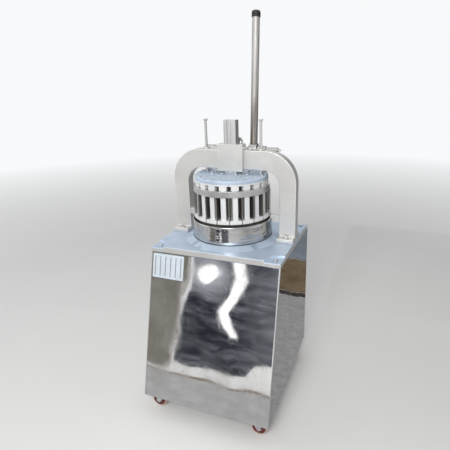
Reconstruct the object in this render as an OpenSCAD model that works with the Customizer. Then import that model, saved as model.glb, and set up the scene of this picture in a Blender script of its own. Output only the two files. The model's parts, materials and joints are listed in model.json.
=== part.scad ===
// Hand lever dough divider: a rack press drives a 36 piece dividing head into a round pan.
// Millimetres, +Z up, origin on the floor under the middle of the cabinet, front towards -Y.

/* [Cabinet] */
// Width of the cabinet and of its top plate
body_w = 400; // [390:1:410]
// Depth of the top plate, front to back
plate_d = 340; // [330:1:360]
// How far the foot of the front panel stands ahead of the top plate
front_rake = 110; // [90:1:130]
// Height of the cabinet panels
cabinet_h = 432; // [400:1:470]
// Height of the panels' lower edge above the floor
skirt_z = 56; // [55:1:60]
// Thickness of the cabinet sheet
sheet_t = 1.5; // [1:0.5:2]
// Thickness of the base plate that carries the casters
base_t = 3; // [3:1:5]
// Height of the base plate above the panels' lower edge
base_rise = 14; // [14:1:20]
// Leg of the corner angles inside the cabinet
angle_leg = 25; // [20:1:30]
// Thickness of the corner angles
angle_t = 3; // [2:1:4]
// Side of the square screw tab on top of each corner angle
tab_w = 38; // [36:1:44]
// Thickness of the screw tabs
tab_t = 6; // [5:1:8]

/* [Top plate] */
// Thickness of the top plate
plate_t = 18; // [16:1:20]
// Height of the step around the lowered corner lugs
step_h = 6; // [4:1:7]
// Radius of the lowered corner lugs
lug_r = 46; // [42:1:50]
// Radius of the round pan seat at its foot
seat_r = 146; // [132:1:148]
// Width of the seat's flat top beyond the rim of the pan
seat_lip = 2; // [1:0.5:4]
// Height of the pan seat
seat_h = 10; // [8:1:10]
// Distance of a corner screw from the side edge and from the front or back edge
corner_in = 20; // [18:1:21]
// Diameter of the corner screws
corner_screw_d = 8; // [6:1:8]

/* [Arch] */
// Inset of the legs from the sides of the top plate
arch_in = 1; // [1:0.5:6]
// Gap between a leg and the rim of the pan
leg_gap = 25.5; // [24:0.5:32]
// Thickness of the arch, front to back
arch_t = 34; // [32:1:38]
// Height of the beam's underside above the top plate
beam_z = 210; // [210:1:216]
// Height of the beam
beam_h = 57; // [55:1:58]
// Outer corner radius
arch_r_out = 95; // [80:1:100]
// Inner corner radius
arch_r_in = 48; // [40:1:52]
// Length of a foot ahead of and behind the leg
foot_len = 26; // [24:1:28]
// Thickness of the feet
foot_t = 12; // [10:1:14]
// Diameter of the foot bolts
foot_bolt_d = 8; // [8:1:12]

/* [Dividing head] */
// Radius of the presser feet
head_r = 118; // [116:1:118]
// Inset of the knife carrier's rim behind the rim of the feet
carrier_in = 2; // [1:0.5:3]
// Inset of the press plate's rim behind the rim of the feet
press_in = 7; // [5:0.5:7]
// Pieces in the inner ring
inner_count = 4; // [4]
// Pieces in the middle ring
middle_count = 12; // [12]
// Pieces in the outer ring
outer_count = 20; // [20]
// Height of the presser feet above the top plate, head up
feet_z = 72; // [70:0.5:78]
// Thickness of the presser feet
foot_h = 11; // [9:0.5:12]
// Height of the knife carrier above the top plate, head up
carrier_z = 150; // [148:1:155]
// Thickness of the knife carrier
carrier_t = 18; // [16:1:18]
// Height of the press plate above the top plate, head up
press_z = 185.5; // [184:0.5:189]
// Thickness of the press plate
press_t = 11.5; // [10:0.5:12]
// Thickness of the knives
knife_t = 2; // [1.5:0.5:2.5]
// Gap between a knife and the feet on each side of it
knife_gap = 0.5; // [0.4:0.1:0.8]
// Width of the outer posts
outer_post_w = 15; // [12:1:16]
// Radial depth of the outer posts
outer_post_d = 14; // [12:1:15]
// Inset of the outer posts behind the rim of the feet
outer_post_in = 8; // [7:1:10]
// Width of the outer pressers' collars, between the knife carrier and the press plate
collar_w = 22; // [18:1:24]
// Thickness of the flanges under the press plate, on top of the collars
flange_t = 4; // [3:0.5:6]
// Width and depth of the middle posts
middle_post_w = 12; // [10:1:14]
// Width and depth of the inner posts
inner_post_w = 9.5; // [9:0.5:10]
// Distance of the inner posts from the head's axis
inner_post_r = 31; // [30.5:0.5:31]
// Gap around a post in the knife carrier
post_gap = 0.5; // [0.4:0.1:0.8]
// Diameter of the presser screws
presser_screw_d = 5; // [4:0.5:6]

/* [Pan] */
// Height of the dough pan
pan_h = 55; // [54:1:60]
// Gap between the head and the pan wall
pan_gap = 1.5; // [1:0.5:2]
// Thickness of the pan wall
pan_wall = 2; // [1.5:0.5:2.5]
// Width of the rolled rim outside the wall
rim_w = 2; // [1.5:0.5:2.5]
// Height of the rolled rim
rim_h = 5; // [4:1:7]
// Thickness of the pan floor
pan_floor = 4; // [3:1:4]
// Thickness of the cutting board in the pan
board_t = 15.5; // [10:0.5:16]
// Front to back width of the hold-down lugs
lug_w = 22; // [20:1:24]
// Gap between the pan rim and the lug lip
lug_gap = 0.3; // [0.2:0.1:0.5]

/* [Rack drive] */
// Gear module of rack and pinion
tooth_module = 4; // [4]
// Teeth of the pinion
pinion_teeth = 16; // [16]
// Face width of the pinion
pinion_w = 22; // [20:1:24]
// Play between the teeth at the pitch line
backlash = 0.5; // [0.4:0.1:0.8]
// Width of the rack
rack_w = 38; // [36:1:38]
// Distance of the rack's front face ahead of the head's axis
rack_front = 7; // [6:0.5:12]
// Gap between the pinion and each side wall of the rack
groove_gap = 1; // [0.5:0.5:2]
// Height of the rack's top above the top plate, head up
rack_top = 354; // [350:1:360]
// Sliding gap on each side of the rack
slide_gap = 0.2; // [0.1:0.05:0.3]
// Gap around the rack in the press plate
press_gap = 0.5; // [0.4:0.1:0.6]
// Height of the pinion shaft above the top plate
shaft_z = 264; // [262:0.5:278]
// Diameter of the pinion shaft
shaft_d = 16; // [16:1:18]
// Running clearance of the shaft in its bushes, on the radius
shaft_gap = 0.05; // [0.02:0.01:0.1]
// Wall of the shaft bushes
bush_wall = 1.5; // [1.5:0.5:2]
// Outer diameter of the bearing sleeves
sleeve_d = 23; // [22.5:0.5:29]
// Width of one bearing
bearing_w = 24; // [22:1:28]
// Length of the bare shaft beyond the right bearing
shaft_out = 37; // [30:1:45]
// Width of the guide block
block_w = 81; // [78:1:84]
// Front wall of the guide block ahead of the rack
block_wall = 6.5; // [6:0.5:9]
// Height of the guide block below the beam
block_drop = 5; // [4:0.5:5]
// Height of the guide block above the beam
block_rise = 18; // [16:1:20]

/* [Guide rods] */
// Distance of the guide rods from the middle
rod_x = 88; // [86:1:90]
// Diameter of the guide rods
rod_d = 8; // [6:1:8]
// Height of the rods' tops above the top plate, head up
rod_top = 350; // [340:1:360]
// Running clearance of the rods in their bushes, on the radius
rod_gap = 0.08; // [0.05:0.01:0.1]

/* [Lever] */
// Distance of the lever from the middle
lever_x = 55.5; // [54:0.5:58]
// Length from the shaft axis to the end of the cap
lever_len = 385; // [340:1:420]
// Lean of the lever behind upright, head up
lever_lean = 5; // [3:1:8]
// Swing of the lever from rest to the end of the stroke
lever_swing = 75; // [70:1:75]
// Diameter of the lever tube
lever_d = 22; // [20:1:22]
// Wall of the lever tube
lever_wall = 2; // [1.5:0.5:3]
// Diameter of the lever hub
hub_d = 38; // [36:1:38]
// Width of the lever hub
hub_w = 24; // [23:1:24]
// Diameter of the cap
cap_d = 26; // [25:1:28]
// Length of the cap
cap_len = 18; // [16:1:30]

/* [Casters] */
// Diameter of the caster wheels
wheel_d = 50; // [48:1:50]
// Width of the caster wheels
wheel_w = 20; // [18:1:22]
// Distance of the wheel axle behind the swivel axis
trail = 16; // [14:1:18]
// Diameter of the wheel axles
axle_d = 8; // [6:1:8]
// Diameter of the swivel pins
swivel_d = 12; // [10:1:13]
// Side of the caster plates
caster_plate_w = 50; // [48:1:56]
// Thickness of the caster plates
caster_plate_t = 3; // [3:0.5:4]
// Gap between a wheel and the fork on each side
wheel_gap = 0.8; // [0.5:0.1:1.2]
// Running clearance of wheels and swivels, on the radius
caster_gap = 0.05; // [0.02:0.01:0.1]

/* [Hidden] */
$fn = 48;

// Small overlap that lets a cut run clear of a face
cut = 1;
// Facets of screws, of large rounds and of wheels
screw_fn = 14;
round_fn = 80;
wheel_fn = 40;
// Clearance of a screw in a through hole and in its thread, on the radius
hole_gap = 0.2;
thread_gap = 0.05;

depth = plate_d + front_rake;
front_y = -depth / 2;
back_y = depth / 2;
plate_y = back_y - plate_d / 2;
plate_front = back_y - plate_d;
top_of_panels = skirt_z + cabinet_h;
plate_z = top_of_panels + plate_t;
base_z = skirt_z + base_rise;
base_top = base_z + base_t;
rake_slope = front_rake / cabinet_h;
// Front to back width of the raked sheet, so that it is sheet_t thick
sheet_run = sheet_t * sqrt(1 + rake_slope * rake_slope);

// The head's axis and the arch stand just ahead of the middle of the top plate
head_ahead = 10;
arch_ahead = 9;
head_y = plate_y - head_ahead;
arch_y = plate_y - arch_ahead;
arch_back = arch_y + arch_t;
beam_top = beam_z + beam_h;
rod_y = arch_y + arch_t / 2;

total_count = inner_count + middle_count + outer_count;
inner_r = head_r * sqrt(inner_count / total_count);
middle_r = head_r * sqrt((inner_count + middle_count) / total_count);
slit = knife_t / 2 + knife_gap;
feet_top = feet_z + foot_h;
carrier_r = head_r - carrier_in;
press_r = head_r - press_in;
outer_post_r = head_r - outer_post_in - outer_post_d / 2;
middle_post_r = (inner_r + middle_r) / 2;
carrier_top = carrier_z + carrier_t;
press_top = press_z + press_t;

// Gap between the collars and the knife carrier, head up
collar_gap = 0.5;
collar_z = carrier_top + collar_gap;
// Radial width of the flanges, and half the gap between two of them
flange_w = 12;
flange_gap = 0.3;
flange_trim = asin(flange_gap / press_r);

// Fit of the knives: at the ring they stand on, at the ring they reach, and behind the rim of the feet
knife_seat = 0.05;
knife_end = 0.1;
knife_in = 0.5;
// Depth by which a post runs into its foot
post_root = 0.1;

pan_in_r = head_r + pan_gap;
pan_out_r = pan_in_r + pan_wall;
rim_r = pan_out_r + rim_w;
pan_z = seat_h;
rim_z = pan_z + pan_h;

arch_w = body_w - 2 * arch_in;
leg_in_x = rim_r + leg_gap;
leg_w = arch_w / 2 - leg_in_x;
leg_mid_x = leg_in_x + leg_w / 2;

pressure_angle = 20;
tooth_pitch = PI * tooth_module;
pitch_r = tooth_module * pinion_teeth / 2;
base_r = pitch_r * cos(pressure_angle);
pinion_r = pitch_r + tooth_module;
root_r = pitch_r - 1.25 * tooth_module;
// Distance of the rack's pitch line behind the head's axis
pitch_run = 15;
rack_back = pitch_run + 0.85 * tooth_module;
rack_root = pitch_run - 1.25 * tooth_module;
rack_mid = (rack_back - rack_front) / 2;
neck_mid = (rack_root - rack_front) / 2;
groove_w = pinion_w + 2 * groove_gap;
shaft_y = head_y + pitch_run + pitch_r;
block_front = head_y - rack_front - slide_gap - block_wall;
block_z = beam_z - block_drop;
block_top = beam_top + block_rise;
block_back = head_y + rack_back + 2;

bush_d = shaft_d + 2 * shaft_gap + 2 * bush_wall;
left_from = -98;
left_to = left_from + bearing_w;
hub_room = 2.5;
right_from = lever_x + hub_w / 2 + hub_room;
right_to = right_from + bearing_w;
shaft_end = right_to + shaft_out;
end_gap = 0.3;
shoulder_d = 21;
shoulder_w = 5;
washer_d = 22;
washer_t = 2.5;
end_bolt_d = 8;
end_bolt_in = 15;
end_head_d = 15;
end_head_t = 5.5;
nipple_in = 8;
nipple_d = 5;
set_screw_d = 6;
key_w = 6;
key_h = 6;
key_len = pinion_w - 2;
key_in = 3.5;

cap_z = lever_len - cap_len;
tube_foot = shaft_d / 2 + 4;
cap_roof = 2;
cap_round = 4;

wheel_r = wheel_d / 2;
caster_in_x = 52;
caster_in_y = 35;
caster_x = body_w / 2 - caster_in_x;
caster_y = depth / 2 - caster_in_y;
fork_t = 2.5;
fork_in = wheel_w / 2 + wheel_gap;
race_t = 2.7;
swivel_gap = 0.3;
crown_t = 4;
crown_top = base_z - caster_plate_t - race_t - swivel_gap;
crown_r = 17;
race_r = 15;

block_screw_d = 8;
block_screw_x = 30;
block_screw_up = [12, 36];
block_screw_in = 11;
bearing_bolt_d = 6;
bearing_bolt_edge = 6;
bearing_bolt_up = 18;
bearing_bolt_z = beam_z + bearing_bolt_up;
bearing_drop = 52;
bearing_t = shaft_y - arch_back;
lug_screw_d = 6;
lug_screw_in = 16;
lug_screw_edge = 6;
lug_room = 2.5;
lug_half = 10;
lug_screw_drop = 4.8;
lug_back = 2;
lug_out = rim_r + lug_room;
lug_in = pan_in_r + lug_gap;
lug_y = arch_y + lug_back;
lug_low = rim_z - lug_half;
lug_high = rim_z + lug_half;
lug_screw_z = rim_z - lug_screw_drop;
lug_sink = 7;
rack_screw_d = 10;
rack_screw_x = 10;
rack_screw_in = 22;
rack_screw_sink = 6;
rack_head_t = 5.5;
rod_bush_wall = 3;
rod_bush_d = rod_d + 2 * rod_bush_wall;
bolt_clear = 1.5;
bearing_bolt_in = arch_t / 2 - rod_bush_d / 2 - bolt_clear;
rod_pad_d = 22;
rod_pad_t = 4;
rod_head_d = 13;
rod_head_t = 6;
rod_nut_d = 15;
rod_nut_t = 6.5;
presser_screw_in = 12;
presser_head_t = 3.2;
press_round = 2;
corner_head_t = 5;
foot_head_t = 5.5;
caster_head_t = 4;
hub_clear = 2;
lever_clear = 1;
pinion_clear = 2;
caster_screw_d = 6;
caster_screw_edge = 7;
caster_screw_at = caster_plate_w / 2 - caster_screw_edge;
foot_bolt_in = 15;

// Helper shapes

module bolt(d, head_d, head_t, len, sides) {
    cylinder(d = head_d, h = head_t, $fn = sides);
    translate([0, 0, -len])
        cylinder(d = d, h = len + 0.5, $fn = screw_fn);
}

module hole(d, len) {
    translate([0, 0, -len])
        cylinder(d = d, h = len + cut, $fn = screw_fn);
}

module along_x() rotate([0, 90, 0]) children();

// Lays a drawing with front to back as its x and height as its y across the machine
module across(from_x, to_x) {
    translate([from_x, 0, 0])
        rotate([90, 0, 90])
            linear_extrude(to_x - from_x)
                children();
}

module at_head() translate([0, head_y, plate_z]) children();

module at_shaft() translate([0, shaft_y, plate_z + shaft_z]) children();

module at_lever() {
    at_shaft()
        translate([lever_x, 0, 0])
            rotate([-lever_lean, 0, 0])
                children();
}

function rake_at(z) = front_y + (z - skirt_z) * rake_slope;

module each_corner() {
    for (sx = [-1, 1])
        for (y = [plate_front + corner_in, back_y - corner_in])
            translate([sx * (body_w / 2 - corner_in), y, 0])
                children();
}

module each_foot_bolt() {
    for (sx = [-1, 1])
        for (y = [arch_y - foot_len / 2, arch_back + foot_len / 2])
            translate([sx * leg_mid_x, y, plate_z + foot_t])
                children();
}

module each_block_screw() {
    for (x = [-block_screw_x, block_screw_x])
        for (up = block_screw_up)
            translate([x, arch_back, plate_z + beam_z + up])
                rotate([-90, 0, 0])
                    children();
}

module each_bearing_bolt() {
    for (from_x = [left_from, right_from])
        for (x = [bearing_bolt_edge, bearing_w - bearing_bolt_edge])
            translate([from_x + x, shaft_y, plate_z + bearing_bolt_z])
                rotate([-90, 0, 0])
                    children();
}

module each_lug_screw() {
    for (sx = [0, 1])
        mirror([sx, 0, 0])
            for (y = [lug_y + lug_screw_edge, lug_y + lug_w - lug_screw_edge])
                translate([lug_out + lug_sink, y, plate_z + lug_screw_z])
                    rotate([0, -90, 0])
                        children();
}

module each_presser_screw() {
    at_head()
        translate([0, 0, press_top]) {
            ring_of(outer_count) translate([outer_post_r, 0, 0]) children();
            ring_of(middle_count) translate([middle_post_r, 0, 0]) children();
            ring_of(inner_count) translate([inner_post_r, 0, 0]) children();
        }
}

module each_rack_screw() {
    for (x = [-rack_screw_x, rack_screw_x])
        translate([x, head_y + neck_mid, plate_z + carrier_z + rack_screw_sink])
            rotate([180, 0, 0])
                children();
}

module each_rod() {
    for (x = [-rod_x, rod_x])
        translate([x, rod_y, plate_z])
            children();
}

// Casters 1 to 4: front left, front right, back left, back right
caster_side = [-1, 1, -1, 1];
caster_end = [-1, -1, 1, 1];

// Puts a caster's swivel axis in place, its wheel trailing outwards
module at_caster(i) {
    translate([caster_side[i - 1] * caster_x, caster_end[i - 1] * caster_y, 0])
        mirror([caster_side[i - 1] < 0 ? 1 : 0, 0, 0])
            children();
}

module each_caster() for (i = [1:4]) at_caster(i) children();

module each_caster_screw() {
    each_caster()
        for (sx = [-1, 1])
            for (sy = [-1, 1])
                translate([sx * caster_screw_at, sy * caster_screw_at, base_top])
                    children();
}

// Children stand in the middle of each of count equal sectors
module ring_of(count) for (i = [0:count - 1]) rotate((i + 0.5) * 360 / count) children();

// Children stand on each of the lines between count equal sectors
module lines_of(count) for (i = [0:count - 1]) rotate(i * 360 / count) children();

// Cabinet

module front_panel() {
    color("gainsboro")
        across(-body_w / 2 + sheet_t, body_w / 2 - sheet_t)
            polygon([
                [front_y, skirt_z], [front_y + sheet_run, skirt_z],
                [plate_front + sheet_run, top_of_panels], [plate_front, top_of_panels]]);
}

module side_outline() {
    polygon([
        [front_y, skirt_z], [back_y, skirt_z],
        [back_y, top_of_panels], [plate_front, top_of_panels]]);
}

module side_panel_left() {
    color("silver")
        across(-body_w / 2, -body_w / 2 + sheet_t)
            side_outline();
}

module side_panel_right() {
    color("silver")
        across(body_w / 2 - sheet_t, body_w / 2)
            side_outline();
}

module back_panel() {
    color("gainsboro")
        translate([-body_w / 2 + sheet_t, back_y - sheet_t, skirt_z])
            cube([body_w - 2 * sheet_t, sheet_t, cabinet_h]);
}

module base_plate() {
    color("silver")
        difference() {
            across(-body_w / 2 + sheet_t, body_w / 2 - sheet_t)
                polygon([
                    [rake_at(base_z) + sheet_run, base_z], [back_y - sheet_t, base_z],
                    [back_y - sheet_t, base_top], [rake_at(base_top) + sheet_run, base_top]]);
            each_caster_screw()
                hole(caster_screw_d + 2 * hole_gap, base_t + cut);
        }
}

// One corner angle standing at its own corner, leaning by run per unit of height
module corner_angle(run) {
    h = top_of_panels - base_top;
    multmatrix([[1, 0, 0, 0], [0, 1, run, 0], [0, 0, 1, 0]])
        linear_extrude(h)
            union() {
                square([angle_t, angle_leg]);
                square([angle_leg, angle_t]);
            }
    translate([0, h * run, h - tab_t])
        cube([tab_w, tab_w, tab_t]);
}

module corner_angles() {
    color("gray")
        difference() {
            for (sx = [0, 1])
                mirror([sx, 0, 0]) {
                    translate([-body_w / 2 + sheet_t, rake_at(base_top) + sheet_run, base_top])
                        corner_angle(rake_slope);
                    translate([-body_w / 2 + sheet_t, back_y - sheet_t, base_top])
                        mirror([0, 1, 0])
                            corner_angle(0);
                }
            each_corner()
                translate([0, 0, top_of_panels])
                    hole(corner_screw_d + 2 * thread_gap, tab_t + cut);
        }
}

module top_plate() {
    color("lightsteelblue")
        difference() {
            union() {
                translate([-body_w / 2, plate_front, top_of_panels])
                    cube([body_w, plate_d, plate_t - step_h]);
                translate([0, plate_y, plate_z - step_h - cut])
                    linear_extrude(step_h + cut)
                        difference() {
                            square([body_w, plate_d], center = true);
                            for (sx = [-1, 1])
                                for (sy = [-1, 1])
                                    translate([sx * body_w / 2, sy * plate_d / 2])
                                        circle(lug_r);
                        }
                at_head()
                    rotate_extrude($fn = round_fn)
                        polygon([
                            [0, -cut], [seat_r, -cut], [seat_r, 0],
                            [rim_r + seat_lip, seat_h], [0, seat_h]]);
            }
            each_corner()
                translate([0, 0, plate_z - step_h])
                    hole(corner_screw_d + 2 * hole_gap, plate_t);
            each_foot_bolt()
                hole(foot_bolt_d + 2 * thread_gap, foot_t + foot_bolt_in + cut);
        }
}

module corner_screws() {
    color("dimgray")
        each_corner()
            translate([0, 0, plate_z - step_h])
                bolt(
                    corner_screw_d, 1.6 * corner_screw_d, corner_head_t,
                    plate_t - step_h + tab_t - cut, screw_fn);
}

// Arch and guides

module round_top(w, h, r) {
    translate([-w / 2, 0])
        square([w, h - r]);
    translate([-w / 2 + r, 0])
        square([w - 2 * r, h]);
    for (sx = [-1, 1])
        translate([sx * (w / 2 - r), h - r])
            circle(r, $fn = round_fn);
}

module arch_outline() {
    difference() {
        round_top(arch_w, beam_top, arch_r_out);
        translate([0, -cut])
            round_top(arch_w - 2 * leg_w, beam_z + cut, arch_r_in);
    }
}

module rack_channel(from_y, from_z, to_z) {
    translate([-rack_w / 2 - slide_gap, from_y, plate_z + from_z])
        cube([rack_w + 2 * slide_gap, head_y + rack_back + slide_gap - from_y, to_z - from_z]);
}

// Everything above the lever tube at the end of its stroke
module lever_relief() {
    room = lever_d / 2 + lever_clear;
    at_lever()
        rotate([lever_swing, 0, 0])
            translate([-room, -room, 0])
                cube([2 * room, arch_t + beam_h, arch_t + beam_h]);
}

module arch_frame() {
    color("lightgray")
        difference() {
            union() {
                translate([0, arch_back, plate_z])
                    rotate([90, 0, 0])
                        linear_extrude(arch_t)
                            arch_outline();
                for (sx = [-1, 1])
                    translate([sx * leg_mid_x - leg_w / 2, arch_y - foot_len, plate_z])
                        cube([leg_w, arch_t + 2 * foot_len, foot_t]);
            }
            rack_channel(arch_y - cut, beam_z - cut, beam_top + cut);
            at_shaft()
                along_x()
                    cylinder(r = pinion_r + pinion_clear, h = groove_w + groove_gap, center = true);
            at_shaft()
                translate([lever_x, 0, 0])
                    along_x()
                        cylinder(d = hub_d + 2 * hub_clear, h = hub_w + hub_clear, center = true);
            lever_relief();
            each_block_screw()
                hole(block_screw_d + 2 * hole_gap, arch_t + cut);
            each_bearing_bolt()
                hole(bearing_bolt_d + 2 * thread_gap, bearing_t + bearing_bolt_in + cut);
            each_lug_screw()
                hole(lug_screw_d + 2 * thread_gap, leg_in_x - lug_out + lug_screw_in);
            each_foot_bolt()
                hole(foot_bolt_d + 2 * hole_gap, foot_t + cut);
            each_rod()
                translate([0, 0, beam_z - cut])
                    cylinder(d = rod_bush_d, h = beam_h + 2 * cut);
        }
}

module foot_bolts() {
    color("silver")
        each_foot_bolt()
            bolt(foot_bolt_d, 1.75 * foot_bolt_d, foot_head_t, foot_t + foot_bolt_in, 6);
}

module guide_block() {
    color("lightgray")
        difference() {
            union() {
                translate([-block_w / 2, block_front, plate_z + block_z])
                    cube([block_w, arch_y - block_front, block_top - block_z]);
                translate([-block_w / 2, arch_y - cut, plate_z + beam_top])
                    cube([block_w, block_back - arch_y + cut, block_rise]);
            }
            translate([-rack_w / 2 - slide_gap, head_y - rack_front - slide_gap, plate_z + block_z - cut])
                cube([rack_w + 2 * slide_gap, depth, block_top - block_z + 2 * cut]);
            each_block_screw()
                hole(block_screw_d + 2 * thread_gap, arch_t + block_screw_in + cut);
            at_oil_cup()
                hole(4 + 2 * thread_gap, 7);
        }
}

module guide_block_screws() {
    color("dimgray")
        each_block_screw()
            bolt(block_screw_d, 1.6 * block_screw_d, block_screw_d, arch_t + block_screw_in, screw_fn);
}

module at_oil_cup() {
    translate([(rack_w + block_w) / 4, head_y + rack_mid, plate_z + block_top])
        children();
}

module oil_cup() {
    color("whitesmoke")
        at_oil_cup()
            rotate_extrude($fn = 24)
                polygon([[0, -6], [2, -6], [2, 0], [4, 0], [4, 5], [3, 8.5], [0, 10]]);
}

module bearing(from_x) {
    difference() {
        union() {
            translate([from_x, arch_back, plate_z + shaft_z - bearing_drop])
                cube([bearing_w, bearing_t, bearing_drop]);
            at_shaft()
                translate([from_x, 0, 0])
                    along_x()
                        cylinder(d = sleeve_d, h = bearing_w);
        }
        at_shaft()
            translate([from_x - cut, 0, 0])
                along_x()
                    cylinder(d = bush_d, h = bearing_w + 2 * cut);
        each_bearing_bolt()
            hole(bearing_bolt_d + 2 * hole_gap, bearing_t + cut);
    }
}

module bearing_left() {
    color("lightgray")
        bearing(left_from);
}

module bearing_right() {
    color("lightgray")
        bearing(right_from);
}

module shaft_bush(from_x) {
    at_shaft()
        translate([from_x, 0, 0])
            along_x()
                difference() {
                    cylinder(d = bush_d, h = bearing_w);
                    translate([0, 0, -cut])
                        cylinder(d = shaft_d + 2 * shaft_gap, h = bearing_w + 2 * cut);
                }
}

module shaft_bushes() {
    color("peru") {
        shaft_bush(left_from);
        shaft_bush(right_from);
    }
}

module bearing_bolts() {
    color("dimgray")
        each_bearing_bolt()
            bolt(bearing_bolt_d, 1.6 * bearing_bolt_d, bearing_bolt_d, bearing_t + bearing_bolt_in, screw_fn);
}

module rod_bushes() {
    color("whitesmoke")
        each_rod()
            difference() {
                union() {
                    translate([0, 0, beam_z])
                        cylinder(d = rod_bush_d, h = beam_h + cut);
                    translate([0, 0, beam_top])
                        cylinder(d = rod_pad_d, h = rod_pad_t);
                }
                translate([0, 0, beam_z - cut])
                    cylinder(d = rod_d + 2 * rod_gap, h = beam_h + rod_pad_t + 2 * cut);
            }
}

// Pan

module pan_lugs() {
    color("lightgray")
        difference() {
            for (sx = [0, 1])
                mirror([sx, 0, 0]) {
                    translate([lug_out, lug_y, plate_z + lug_low])
                        cube([leg_in_x - lug_out, lug_w, lug_high - lug_low]);
                    translate([lug_in, lug_y, plate_z + rim_z + lug_gap])
                        cube([lug_out - lug_in + cut, lug_w, lug_high - rim_z - lug_gap]);
                }
            each_lug_screw() {
                hole(lug_screw_d + 2 * hole_gap, leg_in_x);
                cylinder(d = 1.6 * lug_screw_d + 1, h = lug_sink + cut, $fn = screw_fn);
            }
        }
}

module pan_lug_screws() {
    color("dimgray")
        each_lug_screw()
            bolt(
                lug_screw_d, 1.6 * lug_screw_d, lug_screw_d,
                leg_in_x - lug_out - lug_sink + lug_screw_in - cut, screw_fn);
}

module dough_pan() {
    color("gainsboro")
        at_head()
            rotate_extrude($fn = round_fn)
                polygon([
                    [0, pan_z], [pan_out_r, pan_z], [pan_out_r, rim_z - rim_h], [rim_r, rim_z - rim_h + 1],
                    [rim_r, rim_z - 1], [rim_r - 1, rim_z], [pan_in_r, rim_z],
                    [pan_in_r, pan_z + pan_floor], [0, pan_z + pan_floor]]);
}

module cutting_board() {
    color("ivory")
        at_head()
            translate([0, 0, pan_z + pan_floor])
                cylinder(r = pan_in_r - 0.3, h = board_t, $fn = round_fn);
}

// Rack and knives

// First tooth below the pinion's axis, and the height where the toothed part starts
first_tooth = -2;
tooth_start = shaft_z + (first_tooth - 0.5) * tooth_pitch;

module rack_outline() {
    last = floor((rack_top - shaft_z) / tooth_pitch - 0.5);
    half = (tooth_pitch - backlash) / 4;
    slope = tan(pressure_angle);
    root_half = half + (pitch_run - rack_root) * slope;
    tip_half = half - (rack_back - pitch_run) * slope;
    translate([-rack_front, carrier_top])
        square([rack_front + rack_root, rack_top - carrier_top]);
    for (i = [first_tooth:last])
        translate([0, shaft_z + (i + 0.5) * tooth_pitch])
            polygon([
                [rack_root - 0.1, -root_half], [rack_root, -root_half], [rack_back, -tip_half],
                [rack_back, tip_half], [rack_root, root_half], [rack_root - 0.1, root_half]]);
}

module rack() {
    color("darkgray")
        difference() {
            at_head() {
                across(-rack_w / 2, rack_w / 2)
                    rack_outline();
                for (sx = [0, 1])
                    mirror([sx, 0, 0])
                        across(groove_w / 2, rack_w / 2)
                            translate([-rack_front, tooth_start])
                                square([rack_front + rack_back, rack_top - tooth_start]);
            }
            each_rack_screw()
                hole(rack_screw_d + 2 * thread_gap, carrier_t - rack_screw_sink + rack_screw_in + cut);
        }
}

module rack_screws() {
    color("dimgray")
        each_rack_screw()
            bolt(
                rack_screw_d, 1.6 * rack_screw_d, rack_head_t,
                carrier_t - rack_screw_sink + rack_screw_in, screw_fn);
}

// A post's outline with room around it
module post_outline(r, d, w, room) {
    translate([r - d / 2 - room, -w / 2 - room])
        square([d + 2 * room, w + 2 * room]);
}

module all_post_outlines(room) {
    ring_of(outer_count) post_outline(outer_post_r, outer_post_d, outer_post_w, room);
    ring_of(middle_count) post_outline(middle_post_r, middle_post_w, middle_post_w, room);
    ring_of(inner_count) post_outline(inner_post_r, inner_post_w, inner_post_w, room);
}

module knife_carrier() {
    color("lightgray")
        difference() {
            at_head()
                translate([0, 0, carrier_z])
                    linear_extrude(carrier_t)
                        difference() {
                            circle(carrier_r, $fn = round_fn);
                            all_post_outlines(post_gap);
                        }
            each_rack_screw() {
                hole(rack_screw_d + 2 * hole_gap, carrier_t);
                cylinder(d = 1.6 * rack_screw_d + 1, h = rack_screw_sink + cut, $fn = screw_fn);
            }
        }
}

module ring_knife(r) {
    difference() {
        cylinder(r = r + knife_t / 2, h = carrier_z - feet_z, $fn = round_fn);
        translate([0, 0, -cut])
            cylinder(r = r - knife_t / 2, h = carrier_z - feet_z + 2 * cut, $fn = round_fn);
    }
}

module ring_knives() {
    color("silver")
        at_head()
            translate([0, 0, feet_z]) {
                ring_knife(inner_r);
                ring_knife(middle_r);
            }
}

module knife_blades(count, from_r, to_r) {
    at_head()
        lines_of(count)
            translate([from_r, -knife_t / 2, feet_z])
                cube([to_r - from_r, knife_t, carrier_z - feet_z]);
}

module outer_knives() {
    color("silver")
        knife_blades(outer_count, middle_r + knife_t / 2 + knife_seat, head_r - knife_in);
}

module middle_knives() {
    color("silver")
        knife_blades(
            middle_count, inner_r + knife_t / 2 + knife_seat, middle_r - knife_t / 2 - knife_end);
}

module inner_knives() {
    color("silver")
        knife_blades(inner_count, 0, inner_r - knife_t / 2 - knife_end);
}

// Press plate and pressers

module press_plate() {
    color("lightsteelblue")
        difference() {
            at_head()
                rotate_extrude($fn = round_fn)
                    polygon([
                        [0, press_z], [press_r, press_z], [press_r, press_top - press_round],
                        [press_r - press_round, press_top], [0, press_top]]);
            translate([
                -rack_w / 2 - press_gap, head_y - rack_front - press_gap, plate_z + press_z - cut])
                cube([
                    rack_w + 2 * press_gap, rack_front + rack_root + 2 * press_gap, press_t + 2 * cut]);
            each_presser_screw()
                hole(presser_screw_d + 2 * hole_gap, press_t + cut);
            each_rod()
                translate([0, 0, press_top])
                    hole(rod_d + 2 * thread_gap, press_t + cut);
        }
}

// A sector between two ring lines, for one of count equal pieces, less an angle at each side
module sector(count, from_r, to_r, trim = 0) {
    half = 180 / count - trim;
    steps = 4;
    outer = [for (i = [-steps:steps]) to_r * [cos(half * i / steps), sin(half * i / steps)]];
    inner = [for (i = [steps:-1:-steps]) from_r * [cos(half * i / steps), sin(half * i / steps)]];
    polygon(from_r > 0 ? concat(outer, inner) : concat(outer, [[0, 0]]));
}

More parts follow.
